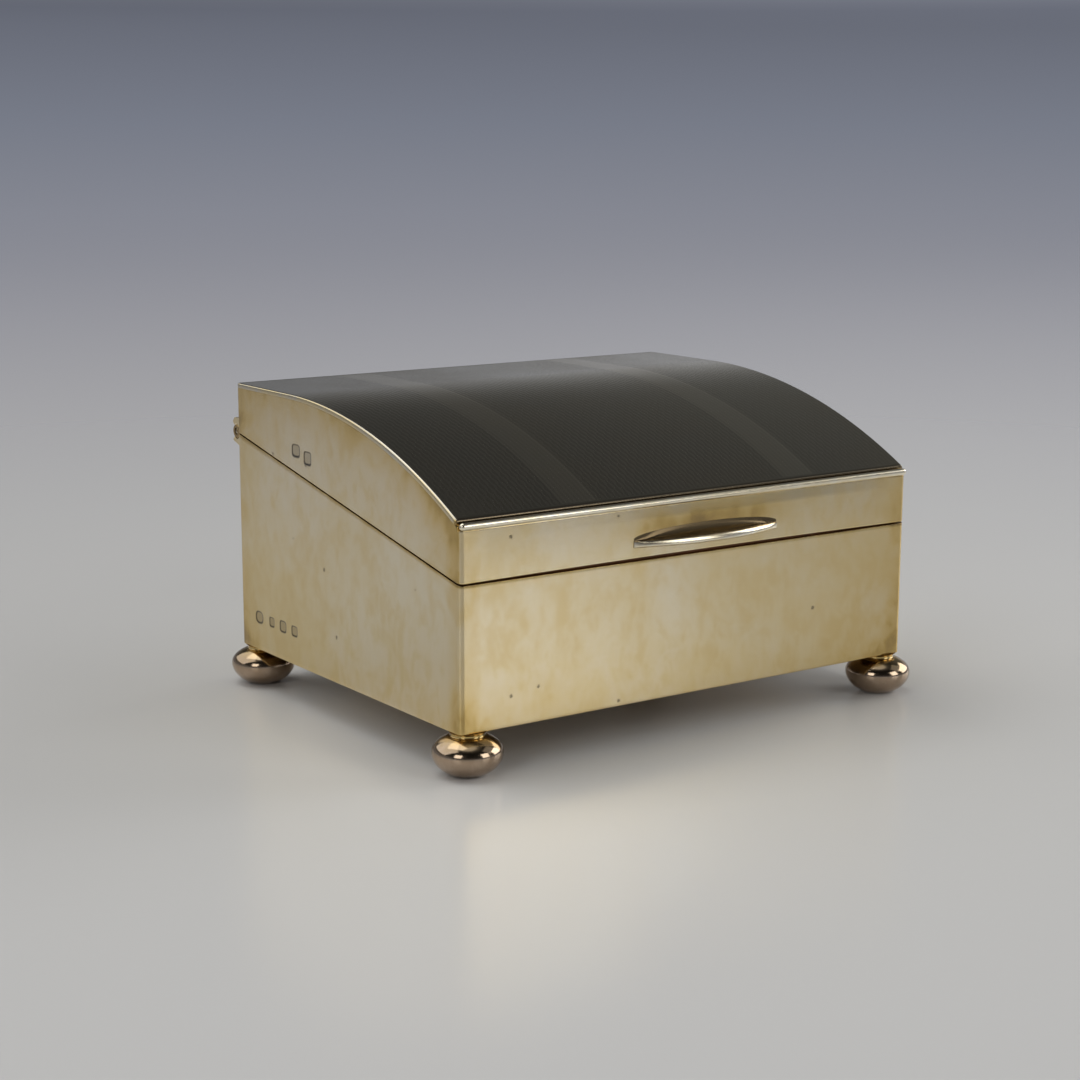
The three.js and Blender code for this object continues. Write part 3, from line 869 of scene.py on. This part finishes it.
class CIGARETTE_BOX_OT_hinge(bpy.types.Operator):
    """Makes the hinge behind the back wall: seven knuckles, the pin and the two bearer strips"""

    bl_idname = "cigarette_box.hinge"
    bl_label = "Hinge"

    def execute(self, context):
        sizes = settings().hinge
        joint = frame["joints"][0]["pos_m"]
        for body, count in (("body", 4), ("lid", 3)):
            for number in range(1, count + 1):
                self.knuckle(f"{body}_knuckle_{number}", body, sizes, joint)
        self.pin(joint)
        self.bearer("lid", 1, sizes.lid_lip, sizes, joint)
        self.bearer("body", -1, sizes.body_lip, sizes, joint)
        return {"FINISHED"}

    def knuckle(self, node, body, sizes, joint):
        """A tube about the hinge axis: a rectangle with chamfered outer corners, turned once round."""
        low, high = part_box(node)
        radius = (high.z - low.z) / 2
        bare = radius - sizes.chamfer
        start, end = low.x, high.x
        inner = even_steps(start + KNUCKLE_STEP / 2, end - KNUCKLE_STEP / 2, KNUCKLE_STEP)
        edges = [start + sizes.chamfer, *inner, end - sizes.chamfer]
        outer = np.stack([np.full(len(edges), radius), edges], axis=-1)
        near_end = [(sizes.bore, start), (bare, start)]
        far_end = [(bare, end), (sizes.bore, end)]
        profile = np.concatenate([near_end, outer, far_end])
        points = about_x(turned(profile, KNUCKLE_SEGMENTS)) + [0, joint[1], joint[2]]
        grime_and_shade = fade(np.minimum(points[..., 0] - start, end - points[..., 0]), 0.5)
        piece = ring_piece(f"{node}_tube", points, {"grime_and_shade": grime_and_shade})
        fit(piece, body, "tarnished_silver", [node])

    def pin(self, joint):
        """The pin: a rod about the hinge axis with domed ends."""
        low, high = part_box("hinge_pin")
        radius = (high.z - low.z) / 2
        dome = arc((high.x - radius / 2, 0), (radius / 2, radius), 90, 5, PIN_END_ROWS)[:, ::-1]
        profile = np.concatenate([dome[::-1] * [1, -1], dome])
        points = about_x(turned(profile, PIN_SEGMENTS)) + [0, joint[1], joint[2]]
        piece = tube_piece("hinge_pin_wire", points)
        fit(piece, "body", "hinge_wire", ["hinge_pin"])

    def bearer(self, body, up, lip, sizes, joint):
        """A strip on the back wall, hollowed round the barrel, with a slanting face that stops the open
        lid. Its side outline is an arc about the axis, then the wall, the lip and the end of the slanting
        face."""
        low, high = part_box(f"{body}_hinge_bearer")
        setback = joint[1] - low.y
        height = high.z - joint[2] if up > 0 else joint[2] - low.z
        stop = math.degrees(sizes.stop_angle)
        root = 180 - math.degrees(math.asin(sizes.root / setback))
        hollow = arc((0, 0), (setback, setback), stop, root, HOLLOW_STEPS)
        wall = [(-setback, height), (lip - setback, height)]
        face = [(sizes.reach * math.cos(sizes.stop_angle), sizes.reach * math.sin(sizes.stop_angle))]
        section = np.concatenate([hollow, wall, face]) * [1, up] + [joint[1], joint[2]]
        points = carried(section, even_steps(low.x, high.x, BEARER_STEP))
        piece = tube_piece(f"{body}_bearer_strip", points)
        round_edges(piece, BEARER_ROUNDING, segments=2)
        fit(piece, body, "tarnished_silver", [f"{body}_hinge_bearer"])


# Cedar lining


class CIGARETTE_BOX_OT_lining(bpy.types.Operator):
    """Makes the cedar boards of the lining and the divider"""

    bl_idname = "cigarette_box.lining"
    bl_label = "Cedar Lining"

    def execute(self, context):
        self.board("lining_bottom", "cedar", level=True)
        self.board("lining_front", "cedar", groove=1)
        self.board("lining_back", "cedar", groove=-1)
        self.board("lining_left", "cedar_lengthwise")
        self.board("lining_right", "cedar_lengthwise")
        self.board("divider", "cedar_lengthwise")
        return {"FINISHED"}

    def board(self, node, finish, level=False, groove=0):
        """A board from its plan: straight up from its bottom to a top that is level or runs parallel to the
        rim. A groove for the divider is cut in the back face where groove is 1, or in the front face where
        it is -1."""
        sizes = settings().lining
        low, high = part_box(node)
        plan = [(low.x, low.y), (high.x, low.y), (high.x, high.y), (low.x, high.y)]
        if groove:
            face = high.y if groove > 0 else low.y
            bed = face - groove * sizes.groove_depth
            side = groove * sizes.groove
            cut = [(side, face), (side, bed), (-side, bed), (-side, face)]
            plan = plan[:3] + cut + plan[3:] if groove > 0 else plan[:1] + cut + plan[1:]
        plan = np.array(plan)
        climb = 0 if level else RIM_SLOPE
        bottom = np.full(len(plan), low.z)
        top = high.z + climb * (plan[:, 1] - high.y)
        points = np.stack([np.column_stack([plan, bottom]), np.column_stack([plan, top])])
        piece = tube_piece(f"{node}_cedar", points)
        round_edges(piece, sizes.edge_radius)
        fit(piece, "body", "cedar", [node], finish)


# Shader nodes


def add_node(tree, kind, inputs=None, **options):
    """Adds a node, sets its options, and sets or links its inputs, which are given by name or number."""
    node = tree.nodes.new(kind)
    for option, value in options.items():
        setattr(node, option, value)
    for socket, value in (inputs or {}).items():
        if isinstance(value, bpy.types.NodeSocket):
            tree.links.new(value, node.inputs[socket])
        else:
            node.inputs[socket].default_value = value
    return node


def calculate(tree, operation, *values, clamp=False):
    """The result of a Math node."""
    inputs = dict(enumerate(values))
    return add_node(tree, "ShaderNodeMath", inputs, operation=operation, use_clamp=clamp).outputs[0]


def weighted_sum(tree, first, weight, second, second_weight, clamp=False):
    """The sum of two numbers, each times its weight."""
    added = calculate(tree, "MULTIPLY", second, second_weight)
    return calculate(tree, "MULTIPLY_ADD", first, weight, added, clamp=clamp)


def span(tree, value, low, high, to_low=0.0, to_high=1.0):
    """A number mapped smoothly from one range to another."""
    inputs = {"Value": value, "From Min": low, "From Max": high, "To Min": to_low, "To Max": to_high}
    return add_node(tree, "ShaderNodeMapRange", inputs, interpolation_type="SMOOTHSTEP").outputs["Result"]


def blend_colours(tree, factor, first, second):
    """The first colour where the factor is 0 and the second where it is 1."""
    inputs = {0: factor, 6: first, 7: second}
    return add_node(tree, "ShaderNodeMix", inputs, data_type="RGBA").outputs[2]


def noise(tree, vector, scale, detail, roughness, distortion=0.0):
    """The value of a Noise Texture."""
    inputs = {"Vector": vector, "Scale": scale, "Detail": detail, "Roughness": roughness}
    inputs["Distortion"] = distortion
    return add_node(tree, "ShaderNodeTexNoise", inputs).outputs[0]


def mapped(tree, place, scale, rotation=(0, 0, 0)):
    """A place turned and stretched by a Mapping node."""
    inputs = {"Vector": place, "Scale": scale, "Rotation": rotation}
    return add_node(tree, "ShaderNodeMapping", inputs).outputs[0]


def object_place(tree, scale=(1, 1, 1), rotation=(0, 0, 0)):
    """Object coordinates, turned and stretched."""
    return mapped(tree, add_node(tree, "ShaderNodeTexCoord").outputs["Object"], scale, rotation)


def stored(tree, name):
    """A number that is stored at a mesh's points, or 0 where there is none."""
    return add_node(tree, "ShaderNodeAttribute", attribute_name=name).outputs["Fac"]


def shared_group(name, inputs, outputs, build):
    """A node group with named sockets, made once: build gets its tree and inputs and returns its outputs."""
    group = bpy.data.node_groups.get(name)
    if group:
        return group
    group = bpy.data.node_groups.new(name, "ShaderNodeTree")
    for label, (kind, default) in inputs.items():
        group.interface.new_socket(label, in_out="INPUT", socket_type=kind).default_value = default
    for label, kind in outputs.items():
        group.interface.new_socket(label, in_out="OUTPUT", socket_type=kind)
    results = build(group, group.nodes.new("NodeGroupInput").outputs)
    end = group.nodes.new("NodeGroupOutput")
    for label, result in results.items():
        group.links.new(result, end.inputs[label])
    return group


def place_group(tree, group, inputs):
    """A group node in a tree with its inputs set, as its outputs."""
    return add_node(tree, "ShaderNodeGroup", inputs, node_tree=group).outputs


NUMBER = "NodeSocketFloat"
COLOUR = "NodeSocketColor"
VECTOR = "NodeSocketVector"
TARNISH_TONES = ("Clean", "Warm", "Amber", "Brown")


def patchy_tarnish():
    """Group: silver that is clean in places and golden in others, with amber and then brown where grime has
    gathered or painted shade is stored with it. Broad patches, blotches and fine mottling say how far the
    golden tone goes, and the blotches break up the grime and the shade."""

    def build(tree, given):
        runs = object_place(tree, scale=(1, 1, 0.7))
        broad = noise(tree, runs, given["Patches"], 2, 0.5, 0.8)
        blotch = noise(tree, runs, calculate(tree, "MULTIPLY", given["Patches"], 5.0), 3, 0.5, 1.0)
        fine = noise(tree, runs, calculate(tree, "MULTIPLY", given["Patches"], 17.0), 3, 0.5, 0.5)
        small = weighted_sum(tree, blotch, 0.25, fine, 0.15)
        drift = calculate(tree, "MULTIPLY_ADD", broad, 0.6, small)
        golden = calculate(tree, "MULTIPLY", span(tree, drift, 0.33, 0.62), given["Golden"])
        tone = blend_colours(tree, golden, given["Clean"], given["Warm"])
        broken = span(tree, blotch, 0.3, 0.7, 0.82, 1.16)
        speckle = calculate(tree, "MULTIPLY", calculate(tree, "ADD", blotch, fine), 0.5)
        spots = calculate(tree, "MULTIPLY", span(tree, speckle, 0.44, 0.66), given["Spots"])
        stain = calculate(tree, "MULTIPLY_ADD", given["Grime_and_shade"], broken, spots, clamp=True)
        amber = blend_colours(tree, calculate(tree, "MULTIPLY", stain, 1.5, clamp=True), tone, given["Amber"])
        return {
            "Color": blend_colours(tree, span(tree, stain, 0.45, 1.0), amber, given["Brown"]),
            "Stain": stain,
            "Drift": drift,
        }

    tones = dict.fromkeys(TARNISH_TONES, (COLOUR, (1, 1, 1, 1)))
    amounts = {"Patches": 40.0, "Golden": 1.0, "Spots": 0.0, "Grime_and_shade": 0.0}
    inputs = tones | {label: (NUMBER, amount) for label, amount in amounts.items()}
    outputs = {"Color": COLOUR, "Stain": NUMBER, "Drift": NUMBER}
    return shared_group("Patchy Tarnish", inputs, outputs, build)


def fine_scratches():
    """Group: thin polishing lines. Noise that is stretched fifty times or more along two slanting
    directions is cut off so that only its ridges stay."""

    def build(tree, given):
        lines = []
        for turn, tilt, fineness in ((0.75, 0.12, 2600), (0.9, -0.35, 2000)):
            way = object_place(tree, (40, fineness, fineness), (0, tilt, -turn))
            lines.append(span(tree, noise(tree, way, given["Closeness"], 1, 0.4), 0.55, 0.9))
        return {"Mask": calculate(tree, "MAXIMUM", *lines)}

    return shared_group("Fine Scratches", {"Closeness": (NUMBER, 1.0)}, {"Mask": NUMBER}, build)


def small_pits():
    """Group: scattered small pits. Only cells whose random number is high hold one, the larger the higher
    it is, and noise makes its edge ragged."""

    def build(tree, given):
        inputs = {"Vector": object_place(tree), "Scale": given["Closeness"], "Randomness": 1.0}
        cells = add_node(tree, "ShaderNodeTexVoronoi", inputs)
        chance = add_node(tree, "ShaderNodeSeparateColor", {"Color": cells.outputs["Color"]}).outputs
        radius = span(tree, chance[0], 0.45, 1.0, 0.0, 0.15)
        ragged = calculate(tree, "MULTIPLY", noise(tree, object_place(tree), 3500.0, 2, 0.6), 0.08)
        away = calculate(tree, "ADD", cells.outputs["Distance"], ragged)
        return {"Mask": span(tree, calculate(tree, "SUBTRACT", radius, away), 0.0, 0.05)}

    return shared_group("Small Pits", {"Closeness": (NUMBER, 70.0)}, {"Mask": NUMBER}, build)


def cedar_grain():
    """Group: planed cedar. Rings are waves across the grain, bent by noise, and fibres are noise along it."""

    def build(tree, given):
        stretch = mapped(tree, given["Place"], (9, 120, 120))
        bend = noise(tree, stretch, 0.35, 2, 0.5)
        ring_inputs = {"Vector": stretch, "Scale": 0.5, "Distortion": 5.0, "Detail": 2.0, "Detail Scale": 0.4}
        wave = add_node(tree, "ShaderNodeTexWave", ring_inputs, wave_type="BANDS", bands_direction="Z")
        ring = weighted_sum(tree, wave.outputs["Fac"], 0.6, bend, 0.5)
        fibre = noise(tree, mapped(tree, given["Place"], (60, 1800, 1800)), 1.0, 2, 0.6)
        tone = weighted_sum(tree, fibre, 0.45, ring, 0.7, clamp=True)
        return {"Color": blend_colours(tree, tone, given["Light"], given["Dark"]), "Height": fibre}

    inputs = {
        "Place": (VECTOR, (0, 0, 0)),
        "Light": (COLOUR, (1, 1, 1, 1)),
        "Dark": (COLOUR, (0, 0, 0, 1)),
    }
    return shared_group("Cedar Grain", inputs, {"Color": COLOUR, "Height": NUMBER}, build)


# Finishes


def new_finish(name, metallic):
    """A fresh material, its node tree and its Principled shader."""
    material = bpy.data.materials.new(name)
    material.use_nodes = True
    shader = material.node_tree.nodes["Principled BSDF"]
    shader.inputs["Metallic"].default_value = metallic
    return material, material.node_tree, shader


def wire_up(tree, shader, base, roughness, height, depth):
    """Links a colour, a roughness and a bump whose height of 1 stands for a depth in metres."""
    tree.links.new(base, shader.inputs["Base Color"])
    tree.links.new(roughness, shader.inputs["Roughness"])
    bump = add_node(tree, "ShaderNodeBump", {"Height": height, "Distance": depth, "Strength": 1.0})
    tree.links.new(bump.outputs[0], shader.inputs["Normal"])


def tarnish_over(tree, tones, patches, golden=1.0, spots=0.0):
    """Places the tarnish group with its four tones, from the cleanest to the oldest, and the stored grime,
    which also holds painted shade.
    """
    inputs = dict(zip(TARNISH_TONES, tones))
    inputs |= {"Patches": patches, "Golden": golden, "Spots": spots, "Grime_and_shade": stored(tree, "grime_and_shade")}
    return place_group(tree, patchy_tarnish(), inputs)


def mask_of(tree, group, closeness):
    """Places a group of scratches or pits, as its mask."""
    return place_group(tree, group, {"Closeness": closeness})["Mask"]


def tarnished_silver(name, colours):
    """Polished sheet under a warm, patchy tarnish and the painted shade in the stored grime, with dirt in the
    punched marks and a few pits.
    """
    material, tree, shader = new_finish(name, 1)
    tones = (colours.clean, colours.warm, colours.amber, colours.brown)
    tarnish = tarnish_over(tree, tones, 22.0, spots=0.13)
    scratch = mask_of(tree, fine_scratches(), 1.0)
    pits = mask_of(tree, small_pits(), 157.0)
    punch = stored(tree, "punch")
    outline = calculate(tree, "MULTIPLY", punch, calculate(tree, "SUBTRACT", 1.0, punch))
    marked = weighted_sum(tree, outline, 3.0, punch, 0.35, clamp=True)
    dirty = calculate(tree, "MAXIMUM", marked, calculate(tree, "MULTIPLY", pits, 0.7))
    base = blend_colours(tree, dirty, tarnish["Color"], colours.dirt)
    drift = span(tree, tarnish["Drift"], 0.3, 0.7, 0.18, 0.225)
    dull = calculate(tree, "MULTIPLY_ADD", tarnish["Stain"], 0.03, drift)
    rough = calculate(tree, "MULTIPLY_ADD", scratch, 0.015, dull)
    soft = noise(tree, object_place(tree), 160.0, 1, 0.5)
    height = weighted_sum(tree, soft, 0.25, pits, -1.0)
    wire_up(tree, shader, base, rough, height, 0.02 * MM)
    return material


def engine_turned_silver(name, colours):
    """The turned field, toned grey, with paler bands, a bright plain rim, and painted shade along the front
    edge above the bead.
    """
    material, tree, shader = new_finish(name, 1)
    tones = (colours.turned_band, colours.warm, colours.amber, colours.brown)
    rim = tarnish_over(tree, tones, 60.0)
    cloud = noise(tree, object_place(tree), 28.0, 4, 0.55)
    toned = blend_colours(tree, stored(tree, "band"), colours.turned, colours.turned_band)
    shade = span(tree, cloud, 0.3, 0.7, 0.0, 0.2)
    clouded = blend_colours(tree, shade, toned, colours.brown)
    # painted shade along the plate's front edge, above the bead, from the stored grime
    seam_shaded = blend_colours(tree, stored(tree, "grime_and_shade"), clouded, colours.hollow)
    base = blend_colours(tree, stored(tree, "field"), rim["Color"], seam_shaded)
    specks = mask_of(tree, small_pits(), 300.0)
    scratch = mask_of(tree, fine_scratches(), 1.3)
    worn = span(tree, stored(tree, "field"), 0.0, 1.0, 0.05, 0.0)
    rough = calculate(tree, "ADD", worn, span(tree, cloud, 0.3, 0.7, 0.16, 0.21))
    height = weighted_sum(tree, scratch, -0.03, specks, 0.6)
    wire_up(tree, shader, base, rough, height, 0.012 * MM)
    return material


def bright_silver(name, colours):
    """Silver rubbed bright by handling, browner where fingers don't reach, and on the thumbpiece's rim
    painted shade above and below a clean band, a painted highlight.
    """
    material, tree, shader = new_finish(name, 1)
    tones = (colours.bright, colours.warm, colours.brown, colours.hollow)
    tarnish = tarnish_over(tree, tones, 110.0, golden=0.5)
    scratch = mask_of(tree, fine_scratches(), 1.6)
    drift = span(tree, tarnish["Drift"], 0.3, 0.7, 0.2, 0.24)
    rough = calculate(tree, "MULTIPLY_ADD", tarnish["Stain"], 0.02, drift)
    height = calculate(tree, "MULTIPLY", scratch, -0.1)
    wire_up(tree, shader, tarnish["Color"], rough, height, 0.01 * MM)
    return material


def foot_silver(name, colours):
    """Mirror-bright feet with a rosy tarnish that darkens round the neck."""
    material, tree, shader = new_finish(name, 1)
    tones = (colours.rose, colours.rose_dark, colours.amber, colours.brown)
    tarnish = tarnish_over(tree, tones, 150.0, golden=0.4)
    scratch = mask_of(tree, fine_scratches(), 2.0)
    drift = span(tree, tarnish["Drift"], 0.3, 0.7, 0.09, 0.16)
    rough = calculate(tree, "MULTIPLY_ADD", scratch, 0.08, drift)
    height = calculate(tree, "MULTIPLY", scratch, -0.1)
    wire_up(tree, shader, tarnish["Color"], rough, height, 0.008 * MM)
    return material


def hinge_wire(name, colours):
    """Drawn wire with dark drawing lines along it."""
    material, tree, shader = new_finish(name, 1)
    lines = noise(tree, object_place(tree, scale=(30, 2500, 2500)), 1.0, 2, 0.5)
    base = blend_colours(tree, span(tree, lines, 0.35, 0.65), colours.wire, colours.brown)
    wire_up(tree, shader, base, span(tree, lines, 0.3, 0.7, 0.18, 0.26), lines, 0.01 * MM)
    return material


def cedar(name, colours, turn=0.0):
    """Planed, unvarnished cedar with its grain along X, or turned about Z."""
    material, tree, shader = new_finish(name, 0)
    place = object_place(tree, rotation=(0, 0, turn))
    inputs = {"Place": place, "Light": colours.cedar_light, "Dark": colours.cedar_dark}
    grain = place_group(tree, cedar_grain(), inputs)
    rough = span(tree, grain["Height"], 0.2, 0.8, 0.62, 0.78)
    wire_up(tree, shader, grain["Color"], rough, grain["Height"], 0.05 * MM)
    return material


def cedar_lengthwise(name, colours):
    """Cedar with its grain from front to back."""
    return cedar(name, colours, math.pi / 2)


FINISHES = {
    "tarnished_silver": tarnished_silver,
    "engine_turned_silver": engine_turned_silver,
    "bright_silver": bright_silver,
    "foot_silver": foot_silver,
    "hinge_wire": hinge_wire,
    "cedar": cedar,
    "cedar_lengthwise": cedar_lengthwise,
}


def finish_material(name):
    """The material of a finish, made when first needed. The frame's own materials have the bare names."""
    label = f"dressed_{name}"
    return bpy.data.materials.get(label) or FINISHES[name](label, settings().colours)


# Stage

FLOOR_SEGMENTS = 96


def direction(azimuth, elevation):
    """The way from the box at two angles in degrees. Azimuth 0 is in front of it, and 90 is on its right."""
    turn, rise = math.radians(azimuth), math.radians(elevation)
    return Vector((math.sin(turn) * math.cos(rise), -math.cos(turn) * math.cos(rise), math.sin(rise)))


class CIGARETTE_BOX_OT_stage(bpy.types.Operator):
    """Sets up the pale floor, the backdrop, two softboxes, four panels and the camera"""

    bl_idname = "cigarette_box.stage"
    bl_label = "Studio"

    def execute(self, context):
        studio = settings().studio
        context.scene.view_settings.view_transform = "Standard"
        self.backdrop(context.scene)
        self.floor(studio)
        self.lamp("left_softbox", -64, 25, 1.1, (0.4, 0.5), studio.left_lamp)
        self.lamp("right_softbox", 24.5, 23, 1.1, (0.45, 0.6), studio.right_lamp)
        self.lamp("left_panel", -140, 46, 1.6, (2.0, 1.6), studio.left_panel)
        self.lamp("right_panel", 80, 22, 1.6, (1.2, 0.8), studio.right_panel)
        self.lamp("right_fill", 62, 42, 1.6, (0.9, 0.9), studio.right_fill)
        self.lamp("top_panel", -165, 72, 1.6, (1.1, 1.1), studio.top_panel)
        self.camera(context.scene, studio)
        return {"FINISHED"}

    def backdrop(self, scene):
        """The studio: a tone for each elevation, pale by the floor, blue-grey at the horizon, with a pale
        band just above it, then dark, with a pale ceiling. Between the horizon and the ceiling it is darker
        towards the front and paler on the right."""
        world = bpy.data.worlds.new("Studio backdrop")
        world.use_nodes = True
        scene.world = world
        tree = world.node_tree
        way = add_node(tree, "ShaderNodeTexCoord").outputs["Generated"]
        parts = add_node(tree, "ShaderNodeSeparateXYZ", {"Vector": way}).outputs
        climb = parts["Z"]
        lowest, highest = -0.3, 1.0
        level_inputs = {"Value": climb, "From Min": lowest, "From Max": highest}
        level = add_node(tree, "ShaderNodeMapRange", level_inputs).outputs["Result"]
        ramp = add_node(tree, "ShaderNodeValToRGB", {"Fac": level})
        # Elevations in degrees, and the tone at each
        tones = [
            (-12, (0.42, 0.415, 0.425)),
            (-5, (0.29, 0.293, 0.33)),
            (0, (0.185, 0.2, 0.245)),
            (3, (0.13, 0.14, 0.175)),
            (6, (0.36, 0.365, 0.38)),
            (7.5, (0.27, 0.27, 0.275)),
            (13, (0.165, 0.165, 0.165)),
            (21, (0.07, 0.07, 0.067)),
            (62, (0.035, 0.035, 0.033)),
            (70, (0.1, 0.1, 0.097)),
            (76, (0.56, 0.56, 0.545)),
            (90, (0.6, 0.6, 0.585)),
        ]
        stops = ramp.color_ramp.elements
        while len(stops) < len(tones):
            stops.new(0.5)
        for stop, (elevation, tone) in zip(stops, tones):
            stop.position = (math.sin(math.radians(elevation)) - lowest) / (highest - lowest)
            stop.color = (*tone, 1)
        tree.links.new(ramp.outputs["Color"], tree.nodes["Background"].inputs["Color"])
        sideways = span(tree, parts["X"], 0.42, 0.74, 0.75, 1.75)
        forwards = span(tree, parts["Y"], -0.4, 0.4, 0.35, 1.0)
        dimmed = calculate(tree, "SUBTRACT", calculate(tree, "MULTIPLY", sideways, forwards), 1.0)
        above_horizon = span(tree, climb, 0.04, 0.09)
        below_ceiling = span(tree, climb, 0.8, 0.9, 1.0, 0.0)
        between = calculate(tree, "MULTIPLY", above_horizon, below_ceiling)
        strength = calculate(tree, "MULTIPLY_ADD", dimmed, between, 1.0)
        tree.links.new(strength, tree.nodes["Background"].inputs["Strength"])

    def floor(self, studio):
        """A disc whose far part fades, so that the backdrop's tones show and no horizon line does. At a
        distance d from the middle, its alpha is 0.45 / (d + 0.3) - 0.16, kept between 0 and 1."""
        rings = np.concatenate([[0.01], np.linspace(0.05, 0.4, 8), np.geomspace(0.5, 2.5, 10)])
        points = turned(np.stack([rings, 0 * rings], axis=-1), FLOOR_SEGMENTS).reshape(-1, 3)
        faces = grid_quads(len(rings), FLOOR_SEGMENTS, close_columns=True).tolist()
        faces.append(list(range(FLOOR_SEGMENTS)))
        mesh = bpy.data.meshes.new("floor")
        mesh.from_pydata(points.tolist(), [], faces)
        floor = bpy.data.objects.new("floor", mesh)
        bpy.context.scene.collection.objects.link(floor)
        material, tree, shader = new_finish("pale_table", 0)
        shader.inputs["Base Color"].default_value = studio.floor
        shader.inputs["Roughness"].default_value = 0.22
        shader.inputs["Specular IOR Level"].default_value = 0.25
        place = add_node(tree, "ShaderNodeTexCoord").outputs["Object"]
        away = add_node(tree, "ShaderNodeVectorMath", {0: place}, operation="LENGTH").outputs["Value"]
        near = calculate(tree, "DIVIDE", 0.45, calculate(tree, "ADD", away, 0.3))
        tree.links.new(calculate(tree, "SUBTRACT", near, 0.16, clamp=True), shader.inputs["Alpha"])
        mesh.materials.append(material)

    def lamp(self, name, azimuth, elevation, distance, size, power):
        """A rectangular softbox or panel at a distance in metres, aimed at the table under the box."""
        light = bpy.data.lights.new(name, "AREA")
        light.shape = "RECTANGLE"
        light.size, light.size_y = size
        light.energy = power
        way = direction(azimuth, elevation)
        axes = way.to_track_quat("Z", "Y").to_matrix().to_4x4()
        lamp = bpy.data.objects.new(name, light)
        lamp.matrix_world = Matrix.Translation(way * distance) @ axes
        bpy.context.scene.collection.objects.link(lamp)

    def camera(self, scene, studio):
        """The camera at the viewing angle: left of the front, a little above, and slightly rolled."""
        azimuth, elevation = -35.027, 11.193
        roll = math.radians(0.145)
        turn = math.radians(azimuth)
        back = direction(azimuth, elevation)
        level = Vector((math.cos(turn), math.sin(turn), 0))
        upright = back.cross(level)
        right = level * math.cos(roll) + upright * math.sin(roll)
        up = back.cross(right)
        aim = Vector((-6.72, 1.41, 33.14)) * MM
        distance = 455.8 * MM
        data = bpy.data.cameras.new("camera")
        data.lens = studio.lens
        data.sensor_width = 36
        data.clip_start = 0.01
        camera = bpy.data.objects.new("camera", data)
        axes = Matrix((right, up, back)).transposed().to_4x4()
        camera.matrix_world = Matrix.Translation(aim + back * distance) @ axes
        scene.collection.objects.link(camera)
        scene.camera = camera


# Add-on

OPERATORS = (
    CIGARETTE_BOX_OT_body_walls,
    CIGARETTE_BOX_OT_base,
    CIGARETTE_BOX_OT_feet,
    CIGARETTE_BOX_OT_lining,
    CIGARETTE_BOX_OT_lid_walls,
    CIGARETTE_BOX_OT_lid_top,
    CIGARETTE_BOX_OT_bead,
    CIGARETTE_BOX_OT_thumbpiece,
    CIGARETTE_BOX_OT_hinge,
    CIGARETTE_BOX_OT_stage,
)


class CIGARETTE_BOX_PT_panel(bpy.types.Panel):
    """Lists the pieces of the box, in the order in which they are made"""

    bl_idname = "CIGARETTE_BOX_PT_panel"
    bl_label = "Cigarette Box"
    bl_space_type = "VIEW_3D"
    bl_region_type = "UI"
    bl_category = "Cigarette Box"

    def draw(self, context):
        for operator in OPERATORS:
            self.layout.operator(operator.bl_idname)


CLASSES = (
    WallSizes,
    LidTopSizes,
    FootSizes,
    HingeSizes,
    LiningSizes,
    FinishColours,
    StudioSettings,
    BoxSettings,
    *OPERATORS,
    CIGARETTE_BOX_PT_panel,
)


def register():
    for cls in CLASSES:
        bpy.utils.register_class(cls)
    bpy.types.Scene.cigarette_box = PointerProperty(type=BoxSettings)


def unregister():
    del bpy.types.Scene.cigarette_box
    for cls in reversed(CLASSES):
        bpy.utils.unregister_class(cls)


def main():
    """Makes every piece in order."""
    register()
    bpy.ops.cigarette_box.body_walls()
    bpy.ops.cigarette_box.base()
    bpy.ops.cigarette_box.feet()
    bpy.ops.cigarette_box.lining()
    bpy.ops.cigarette_box.lid_walls()
    bpy.ops.cigarette_box.lid_top()
    bpy.ops.cigarette_box.bead()
    bpy.ops.cigarette_box.thumbpiece()
    bpy.ops.cigarette_box.hinge()
    bpy.ops.cigarette_box.stage()


if __name__ == "__main__":
    main()
